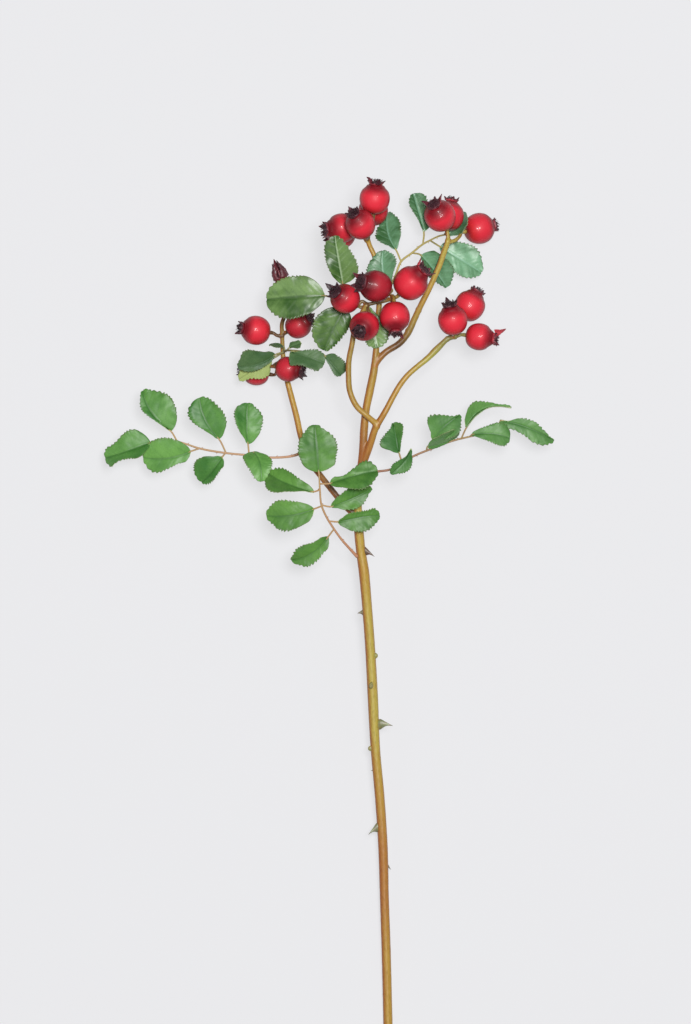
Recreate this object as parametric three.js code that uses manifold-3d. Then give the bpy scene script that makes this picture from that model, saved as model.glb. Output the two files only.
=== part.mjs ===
// Rose hip sprig: a cut, prickly stem that lies on a surface with its branches spread over it,
// twenty-one ripe hips in five clusters, each with its dried calyx, and six compound leaves.
// Millimetres. X runs to the right of the sprig, Y from the cut end to the tip, Z up from the surface.
import * as THREE from 'three';
import { mergeVertices } from 'three/addons/utils/BufferGeometryUtils.js';
import Module from 'manifold-3d';

const wasm = await Module();
wasm.setup();

// Driving dimensions
const STEM_SIDES = 8;
const BRANCH_SIDES = 6;
const STALK_SIDES = 5;
const LEAF_STALK_SIDES = 4;
const HIP_SIDES = 10;
const JOINT_GAP = 0.3; // between a stalk and its hip, a hip and its calyx
const STALK_RADIUS = 0.75;
const STALK_START_RADIUS = 0.85;
const STALK_END_RADIUS = 1.0;
const STALK_STRAIGHT = 1.6; // last stretch of a hip's stalk, in line with the hip
const HIP_BASE = 0.96; // from a hip's middle to its stalk end, as a share of its radius
const HIP_TOP = 0.96; // from a hip's middle to its calyx end, before its own neck length
const MOUTH_RADIUS = 0.38; // of a hip's calyx end, as a share of its radius, where none is given
const SEED = 71;

// Outline of a hip from its stalk end up: distance from its axis and along it, as shares of its radius
const HIP_PROFILE = [[0.66, -0.76], [0.94, -0.36], [1, 0.06], [0.9, 0.46], [0.66, 0.78]];

// Calyx. Rings: share of the rim's radius, and height.
const CALYX_WALL = [1.14, 0.7];
const CALYX_OUTER_EDGE = [1.12, 1.3];
const CALYX_INNER_EDGE = [0.78, 1.2];
const CALYX_TUFT = [0.42, 1.7];
const CALYX_TOP = 2.1;
const SEPAL_COUNT = 5;
const SEPAL_HALF_ARC = 23; // degrees of the rim to each side of a sepal's middle
const SEPAL_SPREAD_CHANCE = 8; // degrees that a sepal may stand off its place, each way
const SEPAL_HALF_WIDTH = 0.85; // halfway up a sepal
const SEPAL_HALF_DEPTH = 0.35;
const SEPAL_ROOT_RADIUS = 0.95; // share of the rim's radius
const SEPAL_ROOT_HEIGHT = 1.25;
const SEPAL_LOWER_LEAN = 0.8; // lean of a sepal's lower half, as a share of its spread
const SEPAL_UPPER_LEAN = 1.15;

// Prickles. Rings: share of the way to the tip, and share of the root's half length.
const PRICKLE_RINGS = [[0, 1], [0.42, 0.85], [0.72, 0.3]];
const PRICKLE_SIDES = 6;
const PRICKLE_WIDTH = 0.42; // share of its length along the wood
const PRICKLE_HOOK = 0.3; // how far it leans along the wood, as a share of the root's half length
const WOOD_DIRECTION = [-0.05, 1, 0.1]; // of the stem, near enough for all prickles

// Leaflets
const BLADE_THICKNESS = 0.7;
const BLADE_TEETH = 6; // on each side
const TOOTH_PLACE = 0.66; // of a tooth's point within its own stretch of the edge
const NOTCH_DEPTH = 0.1; // share of the half width
const WIDEST = 0.58; // share of the length where a blade is widest, where none is given
const BLADE_FULLNESS = 0.64; // power of the outline: 1 is a plain sine, less is fuller
const LEAF_STALK_RADIUS = 0.6;
const LEAF_STALK_END = 0.14; // share of the blade's length that the stalk runs on inside it
const LEAF_STALK_END_RADIUS = 0.28;

// Main stem, from the cut end up: x, y, z and radius. Its underside is flat at the cut end.
const MAIN_STEM = [
  [19.5, 0, 2.0, 2.35],
  [19.3, 14, 2.05, 2.35],
  [18.8, 37, 3.6, 2.3],
  [18.15, 62, 5.4, 2.3],
  [17.3, 87, 7.4, 2.25],
  [16.6, 112, 9.5, 2.38],
  [15, 137, 11.8, 2.42],
  [12.75, 162, 14.2, 2.38],
  [11.5, 187, 16.8, 2.6],
  [10.15, 212, 19.6, 2.5],
  [8.25, 237, 22.6, 2.5],
  [6.85, 252, 24.4, 2.6],
  [5.35, 262, 25.6, 2.4],
  [4.4, 272, 26.8, 2.4],
  [3.75, 284.5, 28.4, 2.2],
  [5.2, 300, 30.2, 2.05],
  [6.5, 312, 31.6, 2.0],
  [7, 322, 32.8, 2.0],
  [8, 332, 34, 1.9],
  [10, 342, 35.2, 2.0],
  [12, 352, 36.4, 1.9],
  [13, 362, 37.5, 1.55],
  [14, 377, 38.8, 1.5],
  [14.5, 384.5, 39.4, 1.4],
  [13.6, 397, 40, 1.25],
  [12, 409, 40.8, 1.2],
  [9.5, 414.5, 41.3, 1.2],
  [8.5, 418, 42, 1.25],
];

// Side branches, each from inside the wood that carries it
const LEFT_BRANCH = [
  [3.6, 278, 27.6, 1.9],
  [0.5, 281.5, 28, 1.8],
  [-2.5, 284, 27.6, 1.6],
  [-7.5, 290, 26.6, 1.5],
  [-11.5, 295, 25.6, 1.5],
  [-15, 299.5, 24.4, 1.5],
  [-20, 306, 22.6, 1.5],
  [-24.5, 318.5, 20, 1.5],
  [-27, 329.5, 18, 1.5],
  [-30, 341, 16.6, 1.45],
  [-31.5, 347, 16.2, 1.4],
  [-33, 354.5, 16.2, 1.3],
  [-33.75, 362, 16.8, 1.1],
  [-34, 369.5, 18, 1.0],
  [-34, 376, 19.5, 0.95],
  [-32, 380.5, 20.4, 0.9],
];
const FORKED_BRANCH = [
  [5.3, 301, 30.2, 1.6],
  [7.5, 307.5, 32, 1.75],
  [10, 314.5, 34.2, 1.75],
  [12, 321, 36.2, 1.75],
  [13.75, 325.5, 37.2, 1.75],
];
const MIDDLE_BRANCH = [
  [13.5, 324.5, 37, 1.6],
  [9, 328.5, 38.4, 1.4],
  [3.5, 333.5, 39.2, 1.4],
  [0, 341, 40, 1.4],
  [-0.75, 349.5, 41, 1.4],
  [-0.5, 357, 42, 1.35],
  [1, 364.5, 43, 1.3],
  [2.3, 372, 43.5, 1.3],
  [6, 380, 44.4, 1.3],
  [8, 384, 45.2, 1.4],
];
const RIGHT_BRANCH = [
  [12.4, 354, 36.7, 1.5],
  [13.8, 356.6, 37, 1.7],
  [17.5, 360.5, 37, 1.6],
  [25, 365.5, 36, 1.65],
  [29, 370.5, 34.8, 1.65],
  [32, 377, 33.4, 1.6],
  [35, 383.5, 31.6, 1.45],
  [38.5, 390.5, 29.8, 1.45],
  [42, 398, 28, 1.4],
  [45, 405, 26.2, 1.4],
  [47, 411, 24.4, 1.45],
  [48.5, 415, 23.2, 1.3],
  [49, 418, 22.2, 1.1],
];
const OUTER_BRANCH = [
  [13.6, 324.5, 37, 1.6],
  [17.5, 331, 37.8, 1.5],
  [21.5, 338.5, 37.8, 1.4],
  [25, 344.5, 37.6, 1.4],
  [29, 349.5, 37.4, 1.35],
  [33.5, 353.5, 37, 1.35],
  [39, 358, 36.5, 1.45],
  [43.5, 362.5, 36, 1.65],
  [46.5, 365.5, 35.6, 1.3],
  [49, 368, 35.2, 1.15],
];

// Prickles: the place of the root on the wood's axis, the tip, and half the root's length along the wood
const PRICKLES = [
  { root: [5.6, 261.5, 25.5], tip: [12.3, 258.6, 27], half: 2.3 },
  { root: [8.7, 229.5, 21.8], tip: [3.7, 230.2, 22.6], half: 2.0 },
  { root: [10.3, 209, 19.3], tip: [14, 209, 20.5], half: 2.4 },
  { root: [11.2, 194.5, 17.6], tip: [10.2, 193.5, 23.4], half: 2.3 },
  { root: [12.3, 173.5, 15.4], tip: [21.5, 173.7, 17.2], half: 2.7 },
  { root: [12.8, 162.4, 14.2], tip: [9, 162.2, 15.4], half: 2.3 },
  { root: [13.8, 151, 13.1], tip: [10.4, 151, 13.6], half: 1.1 },
  { root: [15.9, 123, 10.5], tip: [9.2, 118.8, 12], half: 2.5 },
  { root: [10.4, 206, 18.9], tip: [9, 204.4, 12.2], half: 2.3 },
  { root: [16.7, 104, 8.8], tip: [20.6, 101, 4.4], half: 2.3 },
];

// Hips. at: middle. facing: from the stalk end to the calyx end. neck: extra length at the calyx end.
// stalk: its way from the branch to just before the hip. crown: height of the calyx, with the
// sepals' length, their spread from the hip's axis in degrees, and where the first one stands.
const HIPS = {
  top_1: {
    at: [12.25, 436.4, 52], radius: 7.65, facing: [0.08, 1, 0.16], neck: 0.0, mouth: 0.42,
    stalk: [[8.4, 417, 41.5], [10.3, 421, 47], [11.5, 425, 50]],
    crown: { sepals: [1.8, 1.2, 1.4, 4.4, 3.8], spread: 56, first: 100 },
  },
  top_2: {
    at: [11.5, 431.25, 36.8], radius: 7.5, facing: [0.1, 0.9, -0.4], neck: 0.04,
    stalk: [[8.6, 417, 41.6], [9.8, 420.5, 41.2]],
    crown: { sepals: [1.8, 1.4, 1.6, 2.0, 1.6], spread: 40, first: 20 },
  },
  top_3: {
    at: [5.25, 423.75, 57], radius: 7.5, facing: [-0.43, 0.63, 0.64], neck: 0.04,
    stalk: [[8.5, 417, 41.6], [8.7, 417.4, 46.5]],
    crown: { sepals: [1.6, 1.4, 2.2, 1.6, 1.5], spread: 35, first: 50 },
  },
  top_4: {
    at: [-4, 422.5, 44], radius: 7.5, facing: [-0.96, -0.1, 0.25], neck: 0.04, mouth: 0.44,
    stalk: [[8.3, 417, 41.7], [6.5, 420.6, 41.2]],
    crown: { sepals: [2.0, 1.6, 2.4, 1.8, 2.0], spread: 34, first: 10 },
  },
  top_5: {
    at: [-4.25, 419.5, 29], radius: 7, facing: [-0.7, -0.3, -0.6], neck: 0.02,
    stalk: [[8.9, 416, 41.4], [6, 418.5, 37.4]],
    crown: { sepals: [1.6, 1.4, 1.6, 1.4, 1.6], spread: 40, first: 30 },
  },
  right_1: {
    at: [45, 429, 29.5], radius: 8, facing: [-0.35, 0.645, 0.68], neck: 0.02,
    stalk: [[48.9, 417, 22.5], [48.9, 420.6, 22.7]],
    crown: { sepals: [4.2, 1.6, 3.6, 1.4, 1.5], spread: 48, first: 100 },
  },
  right_2: {
    at: [49.75, 429.5, 14], radius: 7.5, facing: [0.15, 0.97, -0.2], neck: 0.03,
    stalk: [[49, 416.8, 22.4], [49.5, 419, 18.4]],
    crown: { sepals: [1.6, 1.2, 2.2, 1.4, 1.4], spread: 42, first: 75 },
  },
  right_3: {
    at: [64.75, 423.5, 7.5], radius: 7.9, facing: [0.86, 0.2, -0.34], neck: 0.0, mouth: 0.34, rests: true,
    stalk: [[48.7, 415.8, 22.9], [53, 417.4, 18.6], [55.4, 420, 13.6]],
    crown: { sepals: [1.0, 1.2, 1.1, 1.2, 1.0], spread: 30, first: 40 },
  },
  middle_1: {
    at: [-2.25, 387, 52], radius: 7.4, facing: [-0.62, 0.42, 0.66], neck: 0.03, mouth: 0.42,
    stalk: [[8.3, 384.4, 45.2], [6, 386, 45.3]],
    crown: { sepals: [2.4, 1.8, 4.0, 1.8, 1.6], spread: 46, first: 60 },
  },
  middle_2: {
    at: [13, 393.25, 52.5], radius: 8, facing: [-0.8, 0.17, 0.56], neck: 0.1, mouth: 0.5,
    stalk: [[8, 384.3, 45.2], [13, 385.4, 45.2], [18, 388.4, 45.6]],
    crown: { sepals: [3.0, 2.2, 3.4, 2.8, 2.4], spread: 34, first: 15 },
  },
  middle_3: {
    at: [30, 394.75, 50.5], radius: 8.5, facing: [0.68, 0.68, 0.28], neck: 0.1, mouth: 0.44,
    stalk: [[13, 385.4, 45.2], [17, 386, 45.2], [21, 387.2, 46.4]],
    crown: { sepals: [3.2, 1.8, 2.2, 3.6, 1.8], spread: 30, first: 70 },
  },
  middle_4: {
    at: [7.25, 373.5, 52.4], radius: 7.5, facing: [-0.3, -0.33, 0.9], neck: 0.02,
    stalk: [[8, 383.6, 45.1], [9.6, 380.2, 44]],
    crown: { sepals: [1.6, 1.8, 1.5, 1.8, 1.6], spread: 36, first: 25 },
  },
  middle_5: {
    at: [22.25, 378.25, 52], radius: 7.65, facing: [0.05, -0.96, 0.25], neck: 0.02,
    stalk: [[20.4, 387, 46.2], [21.2, 388.7, 48]],
    crown: { sepals: [2.8, 1.4, 1.2, 1.4, 1.8], spread: 36, first: 85 },
  },
  outer_1: {
    at: [51.25, 376.5, 40], radius: 7.5, facing: [-0.17, 0.93, 0.3], neck: 0.03, mouth: 0.44,
    stalk: [[48.6, 367.6, 35.3], [50.6, 368, 36]],
    crown: { sepals: [1.8, 1.4, 3.4, 1.4, 1.6], spread: 50, first: 40 },
  },
  outer_2: {
    at: [59.75, 384, 28.5], radius: 7.75, facing: [0.45, 0.85, -0.15], neck: 0.02, mouth: 0.42,
    stalk: [[48.8, 367.6, 35.2], [51.6, 370.6, 31.8]],
    crown: { sepals: [1.2, 3.0, 1.4, 1.3, 1.5], spread: 44, first: 110 },
  },
  outer_3: {
    at: [64.25, 368.5, 36], radius: 6.9, facing: [0.97, -0.12, 0.15], neck: 0.08, mouth: 0.42,
    stalk: [[48.4, 367.3, 35.3], [52.6, 368.3, 34.9]],
    crown: { sepals: [5.2, 1.6, 1.5, 2.2, 1.6], spread: 34, first: 75 },
  },
  left_1: {
    at: [-47, 372, 20], radius: 7.4, facing: [-0.95, 0.14, 0.22], neck: 0.0, mouth: 0.38,
    stalk: [[-34, 369, 18], [-37, 369.7, 18.3]],
    crown: { sepals: [1.8, 2.0, 1.6, 2.0, 1.8], spread: 24, first: 15 },
  },
  left_2: {
    at: [-26, 374.4, 21.6], radius: 6.6, facing: [0.8, 0.45, 0.35], neck: 0.04, mouth: 0.44,
    stalk: [[-34, 369.6, 18]],
    crown: { sepals: [2.4, 2.0, 2.0, 2.4, 2.0], spread: 36, first: 50 },
  },
  left_3: {
    at: [-31.2, 352.6, 25], radius: 6.4, facing: [0.95, -0.18, 0.22], neck: 0.04, mouth: 0.46,
    stalk: [[-33.2, 357, 16.4], [-36.6, 355.6, 17.4], [-39, 353.8, 20.4]],
    crown: { sepals: [2.2, 2.0, 2.2, 2.0, 2.2], spread: 30, first: 0 },
  },
  left_4: {
    at: [-47, 351.5, 6.65], radius: 7, facing: [-0.95, 0.18, 0.02], neck: 0.02, rests: true,
    stalk: [[-32.7, 353, 16.2], [-36.4, 352.4, 12.4]],
    crown: { sepals: [1.8, 2.0, 1.8, 1.8, 2.0], spread: 30, first: 20 },
  },
  left_5: {
    at: [-31.5, 390.5, 22], radius: 7.25, facing: [-0.36, 0.92, 0.1], neck: 0.1, mouth: 0.44,
    stalk: [[-32.8, 379.3, 20.1]],
    crown: { sepals: [7.0, 5.6, 8.0, 4.6, 6.4], spread: 20, first: 30 },
  },
};

// Compound leaves. rachis: x, y, z and radius from the stem out. Each leaflet has the root of its own
// stalk, the base and tip of its blade, its full width, its turn about its length, how far its left and
// right halves fold up from the midrib, in degrees, and its arch as a share of its length.
const LEAVES = {
  leaf_left: {
    rachis: [
      [-24.3, 310.6, 21.8, 0.85], [-28, 309.3, 22.6, 0.7], [-37.5, 308.25, 24.2, 0.6],
      [-50.5, 309.4, 25.1, 0.6], [-62, 310.5, 25.2, 0.6], [-75, 312.75, 24.6, 0.6],
      [-86.5, 316.3, 23.3, 0.55], [-93.5, 317.25, 22.4, 0.55], [-99.5, 316, 21.6, 0.55],
    ],
    leaflets: [
      { root: [-86.5, 316.3, 23.3], base: [-89.5, 321.5, 24.5], tip: [-103.8, 341.8, 22], width: 17,
        turn: 8, folds: [10, 14], arch: 0.06 },
      { root: [-62, 310.5, 25.2], base: [-65.5, 317.5, 27], tip: [-75.2, 338.2, 28], width: 17.5,
        turn: -6, folds: [12, 10], arch: 0.05 },
      { root: [-50.5, 309.4, 25.1], base: [-51, 315, 26.5], tip: [-51, 335.5, 27.5], width: 15,
        turn: 10, folds: [10, 12], arch: 0.06 },
      { root: [-98, 316.3, 21.8], base: [-100, 315.8, 21.5], tip: [-122.8, 308.2, 17], width: 19,
        turn: 18, folds: [28, 24], arch: 0.08 },
      { root: [-75.4, 312.8, 24.6], base: [-79.8, 311.4, 23.4], tip: [-103.8, 308.4, 19], width: 19,
        turn: -6, folds: [10, 12], arch: 0.06, widest: 0.5 },
      { root: [-62.4, 310.5, 25.2], base: [-64, 308.6, 24], tip: [-74.4, 296, 18], width: 16.5,
        turn: 6, folds: [26, 12], arch: 0.1 },
      { root: [-50, 309.4, 25.1], base: [-48.6, 311.2, 27.4], tip: [-44.2, 296.4, 36], width: 15.5,
        turn: 0, folds: [8, 10], arch: 0.16 },
    ],
  },
  leaf_fore: {
    rachis: [
      [3.6, 258.6, 27.8, 0.85], [0, 262.5, 30.4, 0.7], [-4, 267, 33, 0.65], [-8, 272.5, 35.5, 0.6],
      [-12, 279, 38, 0.6], [-14.25, 284.5, 39.5, 0.6], [-15, 292, 41, 0.55], [-15.4, 300, 42.3, 0.55],
    ],
    leaflets: [
      { root: [-15.3, 299, 42.2], base: [-15.6, 301, 42.4], tip: [-17.5, 324.4, 43.5], width: 21.5,
        turn: 4, folds: [9, 12], arch: 0.05, widest: 0.52 },
      { root: [-15, 292, 41], base: [-18, 291, 40], tip: [-40.6, 300, 29.5], width: 15.5,
        turn: 24, folds: [20, 16], arch: 0.08 },
      { root: [-14, 284, 39.4], base: [-18, 282.5, 38], tip: [-41.8, 279.2, 33.5], width: 18,
        turn: -4, folds: [10, 8], arch: 0.06 },
      { root: [-8, 272.5, 35.5], base: [-11, 268.5, 34], tip: [-29.4, 257, 29], width: 13.5,
        turn: -12, folds: [14, 16], arch: 0.06 },
      { root: [-15, 295, 41.5], base: [-10, 295.2, 43], tip: [13.8, 301.4, 44], width: 15.5,
        turn: -20, folds: [12, 16], arch: 0.08, widest: 0.7 },
      { root: [-14.2, 284.4, 39.5], base: [-9.5, 283.5, 38.5], tip: [11, 292.6, 37.5], width: 14.5,
        turn: 14, folds: [8, 14], arch: 0.06, widest: 0.66 },
      { root: [-10.3, 276.4, 37], base: [-6, 276, 36], tip: [14.8, 279.4, 34.5], width: 13.5,
        turn: 10, folds: [12, 10], arch: 0.06, widest: 0.66 },
    ],
  },
  leaf_right: {
    rachis: [
      [7.9, 300.3, 30.6, 0.85], [14, 301.25, 31.5, 0.65], [20, 302.2, 31.5, 0.6],
      [26, 305.4, 31, 0.6], [31, 308.5, 30.5, 0.6], [40.5, 312.5, 29.4, 0.6],
      [51, 316.5, 28, 0.6], [60, 318.75, 26.5, 0.55], [70, 321, 25, 0.55], [77, 324.2, 24.2, 0.55],
    ],
    leaflets: [
      { root: [26, 305.4, 31], base: [24.6, 310.5, 31.5], tip: [21.4, 325.4, 29], width: 15,
        turn: 12, folds: [8, 46], arch: 0.08 },
      { root: [29.5, 307.6, 30.7], base: [30.6, 312.4, 33], tip: [20.6, 300, 36], width: 11,
        turn: -34, folds: [22, 12], arch: 0.12 },
      { root: [41, 312.7, 29.3], base: [41.5, 316.4, 31], tip: [55, 329.4, 33], width: 19,
        turn: 6, folds: [8, 24], arch: 0.08 },
      { root: [38.2, 311.6, 29.6], base: [38.6, 313.6, 31.6], tip: [54.6, 319.6, 28], width: 12.5,
        turn: 58, folds: [8, 14], arch: 0.08 },
      { root: [55.6, 317.6, 27.3], base: [58, 323, 28.5], tip: [80.6, 333.2, 30], width: 13,
        turn: -50, folds: [24, 26], arch: 0.12, widest: 0.42 },
      { root: [60, 318.75, 26.5], base: [60.8, 319.8, 28.4], tip: [80, 318, 28], width: 14,
        turn: -14, folds: [10, 14], arch: 0.06, widest: 0.7 },
      { root: [74, 322.8, 24.5], base: [75, 327, 24.8], tip: [102.2, 316.9, 22], width: 13.5,
        turn: -8, folds: [12, 12], arch: 0.08 },
    ],
  },
  leaf_upper: {
    rachis: [
      [16.2, 388, 39.5, 0.8], [19, 391.5, 39.5, 0.6], [22.5, 398.5, 38.6, 0.6], [25.5, 406, 36, 0.6],
      [31, 410.5, 32, 0.6], [36.5, 415, 27.5, 0.6], [40, 417, 24, 0.55], [45, 419.5, 17, 0.55],
      [48, 420.25, 12.5, 0.55], [50, 420.4, 9.2, 0.55],
    ],
    leaflets: [
      { root: [22, 397.4, 38.8], base: [19.4, 393.6, 41.6], tip: [16.4, 411.2, 43.8], width: 16,
        turn: 0, folds: [8, 12], arch: 0.02 },
      { root: [25.5, 406, 36], base: [23, 412, 33.5], tip: [19, 431, 25.5], width: 15,
        turn: -6, folds: [14, 10], arch: 0.06 },
      { root: [31, 410.5, 32], base: [35.5, 409.6, 26], tip: [48.6, 393.6, 16], width: 17,
        turn: -8, folds: [4, 8], arch: 0.02 },
      { root: [36.5, 415, 27.5], base: [37, 421.5, 23.5], tip: [31.6, 440.4, 22], width: 13.5,
        turn: 24, folds: [6, 0], arch: 0.02, widest: 0.66 },
      { root: [40, 417, 24], base: [45.2, 414.2, 13.8], tip: [66, 401.4, 9.4], width: 19.5,
        turn: -4, folds: [-2, 12], arch: 0.05, widest: 0.46 },
      { root: [49.6, 420.4, 9.8], base: [49.8, 420, 8.2], tip: [57.2, 432, 5], width: 11.5,
        turn: 0, folds: [-14, 56], arch: 0.02 },
    ],
  },
  leaf_middle: {
    rachis: [
      [5.5, 382.7, 43.9, 0.75], [2, 384.5, 42.6, 0.6], [-2.5, 386, 42, 0.6],
      [-7.5, 387.5, 41.8, 0.6], [-12, 388.8, 41.6, 0.55],
    ],
    leaflets: [
      { root: [-3, 386.2, 42], base: [-3.6, 394.5, 44], tip: [-7.5, 418.4, 50.6], width: 18,
        turn: -6, folds: [12, 14], arch: 0.02 },
      { root: [-11, 388.5, 41.7], base: [-12.6, 389, 41.6], tip: [-41.6, 387.2, 35.5], width: 23.5,
        turn: 6, folds: [8, 10], arch: 0.06, widest: 0.5 },
      { root: [-2, 385.8, 42], base: [-2.6, 382.6, 41.2], tip: [-12.8, 361.6, 37.5], width: 20.5,
        turn: -6, folds: [2, 10], arch: 0.02 },
      { root: [3.6, 383.6, 43.2], base: [9.4, 383.2, 41.3], tip: [14, 363, 41.6], width: 14.5,
        turn: 4, folds: [2, 2], arch: 0.01 },
    ],
  },
  leaf_small: {
    rachis: [
      [-33.4, 361, 18.4, 0.75], [-32.2, 361.8, 23, 0.6], [-30, 361.8, 28, 0.55],
      [-26, 361.5, 31, 0.55], [-19, 360.3, 32.4, 0.55], [-12.6, 359.4, 33, 0.5],
    ],
    leaflets: [
      { root: [-32.9, 361.3, 20.6], base: [-37.5, 359.8, 22], tip: [-56.2, 353.8, 21], width: 15,
        turn: -20, folds: [22, 16], arch: 0.06 },
      { root: [-33.2, 361.2, 19.2], base: [-39.4, 357.4, 19.2], tip: [-55.4, 347.2, 17.2], width: 10.5,
        turn: 196, folds: [10, 12], arch: 0.04, widest: 0.66 },
      { root: [-32.6, 361.6, 21.6], base: [-33.4, 364.4, 22], tip: [-40.2, 365.4, 22.6], width: 7,
        turn: 66, folds: [8, 8], arch: 0.05 },
      { root: [-31.6, 361.8, 24.6], base: [-30.6, 363.2, 24.6], tip: [-24.6, 365.4, 27], width: 6.5,
        turn: -20, folds: [8, 8], arch: 0.05 },
      { root: [-27.6, 361.6, 30], base: [-29.8, 361.2, 30.4], tip: [-12.8, 355.4, 33.6], width: 12.5,
        turn: -8, folds: [6, 12], arch: 0.04 },
      { root: [-14, 359.5, 32.9], base: [-12.4, 359, 33], tip: [-4.2, 349.6, 32], width: 12.5,
        turn: 6, folds: [12, 10], arch: 0.06 },
    ],
  },
};

// Colours
const WOOD = { color: 0xae8b42, roughness: 0.55, metalness: 0 };
const RIPE_SKIN = { color: 0xc81e2a, roughness: 0.28, metalness: 0 };
const WINE_SKIN = { color: 0x8c1a24, roughness: 0.3, metalness: 0 };
const DRIED_CALYX = { color: 0x3a1c20, roughness: 0.85, metalness: 0 };
const GREEN_LEAF = { color: 0x4f8a3e, roughness: 0.42, metalness: 0 };
const BLUISH_LEAF = { color: 0x4c7f5a, roughness: 0.42, metalness: 0 };
const WINE_HIPS = ['middle_2', 'left_2', 'left_3'];

// Vectors and seeded chance
const UP = new THREE.Vector3(0, 0, 1);
const vec = (point) => new THREE.Vector3(point[0], point[1], point[2]);
const radians = THREE.MathUtils.degToRad;

let seedState = SEED;
function chance(low, high) {
  seedState = (seedState * 16807) % 2147483647;
  return low + ((high - low) * seedState) / 2147483647;
}

// Closed solids from points and triangles, turned right side out, and back to a geometry
function solidOf(points, triangles) {
  const vertProperties = new Float32Array(points.flatMap((p) => [p.x, p.y, p.z]));
  const triVerts = new Uint32Array(triangles.flat());
  const solid = new wasm.Manifold(new wasm.Mesh({ numProp: 3, vertProperties, triVerts }));
  return solid.volume() > 0 ? solid : solidOf(points, triangles.map(([a, b, c]) => [a, c, b]));
}

function solidOfGeometry(source) {
  const bare = source.clone();
  bare.deleteAttribute('normal');
  bare.deleteAttribute('uv');
  const merged = mergeVertices(bare, 1e-4);
  const place = merged.getAttribute('position');
  const points = [];
  for (let i = 0; i < place.count; i += 1) {
    points.push(new THREE.Vector3().fromBufferAttribute(place, i));
  }
  const triangles = [];
  const index = merged.getIndex().array;
  for (let i = 0; i < index.length; i += 3) {
    const [a, b, c] = [index[i], index[i + 1], index[i + 2]];
    if (a !== b && b !== c && c !== a) {
      triangles.push([a, b, c]);
    }
  }
  return solidOf(points, triangles);
}

function geometryOf(solid) {
  const mesh = solid.getMesh();
  const geometry = new THREE.BufferGeometry();
  geometry.setAttribute('position', new THREE.BufferAttribute(new Float32Array(mesh.vertProperties), 3));
  geometry.setIndex(new THREE.BufferAttribute(new Uint32Array(mesh.triVerts), 1));
  geometry.computeVertexNormals();
  return geometry;
}

const fuse = (solids) => solids.reduce((whole, next) => whole.add(next));

function aboveFloor(solid) {
  return solid.trimByPlane([0, 0, 1], 0);
}

// A closed tube whose rings stand at the given stations, with flat ends
function tube(stations, sides) {
  const centres = stations.map(vec);
  const last = centres.length - 1;
  const points = [];
  const triangles = [];
  let normal = UP.clone();
  centres.forEach((centre, i) => {
    const along = centres[Math.min(i + 1, last)].clone().sub(centres[Math.max(i - 1, 0)]).normalize();
    normal.addScaledVector(along, -normal.dot(along)).normalize();
    const side = along.clone().cross(normal);
    for (let j = 0; j < sides; j += 1) {
      const angle = (2 * Math.PI * (j + 0.5)) / sides;
      const radius = stations[i][3];
      points.push(centre.clone()
        .addScaledVector(normal, radius * Math.cos(angle))
        .addScaledVector(side, radius * Math.sin(angle)));
    }
  });
  const firstCap = points.push(centres[0].clone()) - 1;
  const lastCap = points.push(centres[last].clone()) - 1;
  for (let j = 0; j < sides; j += 1) {
    const next = (j + 1) % sides;
    for (let i = 0; i < last; i += 1) {
      const low = i * sides;
      const high = low + sides;
      triangles.push([low + j, low + next, high + j], [low + next, high + next, high + j]);
    }
    triangles.push([firstCap, next, j], [lastCap, last * sides + j, last * sides + next]);
  }
  return solidOf(points, triangles);
}

// A hooked prickle: rings that are long along the wood and narrow across it, closed to a point
function prickle({ root, tip, half }) {
  const from = vec(root);
  const reach = vec(tip).sub(from);
  const wood = vec(WOOD_DIRECTION).normalize();
  const across = reach.clone().cross(wood).normalize();
  const sides = PRICKLE_SIDES;
  const points = [];
  const triangles = [];
  PRICKLE_RINGS.forEach(([share, size]) => {
    const centre = from.clone().addScaledVector(reach, share);
    centre.addScaledVector(wood, half * PRICKLE_HOOK * share);
    for (let j = 0; j < sides; j += 1) {
      const angle = (2 * Math.PI * j) / sides;
      points.push(centre.clone()
        .addScaledVector(wood, half * size * Math.cos(angle))
        .addScaledVector(across, -half * size * PRICKLE_WIDTH * Math.sin(angle)));
    }
  });
  const rootCap = points.push(from.clone()) - 1;
  const point = points.push(vec(tip)) - 1;
  for (let j = 0; j < sides; j += 1) {
    const next = (j + 1) % sides;
    for (let i = 0; i < PRICKLE_RINGS.length - 1; i += 1) {
      const low = i * sides;
      const high = low + sides;
      triangles.push([low + j, low + next, high + j], [low + next, high + next, high + j]);
    }
    const top = (PRICKLE_RINGS.length - 1) * sides;
    triangles.push([rootCap, next, j], [point, top + j, top + next]);
  }
  return solidOf(points, triangles);
}

// The stalk of a hip, which ends just short of the hip and in line with it
function hipStalk({ at, radius, facing, stalk }) {
  const axis = vec(facing).normalize();
  const end = (reach) => vec(at).addScaledVector(axis, -(radius * HIP_BASE + reach)).toArray();
  const last = stalk.length - 1;
  const way = stalk.map((place, i) => [...place, i === last ? STALK_RADIUS : STALK_START_RADIUS]);
  way.push([...end(JOINT_GAP + STALK_STRAIGHT), STALK_RADIUS], [...end(JOINT_GAP), STALK_END_RADIUS]);
  return tube(way, STALK_SIDES);
}

function stemSolid() {
  const branches = [LEFT_BRANCH, FORKED_BRANCH, MIDDLE_BRANCH, RIGHT_BRANCH, OUTER_BRANCH];
  const parts = [
    tube(MAIN_STEM, STEM_SIDES),
    ...branches.map((way) => tube(way, BRANCH_SIDES)),
    ...Object.values(HIPS).map(hipStalk),
    ...PRICKLES.map(prickle),
  ];
  return aboveFloor(fuse(parts));
}

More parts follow.
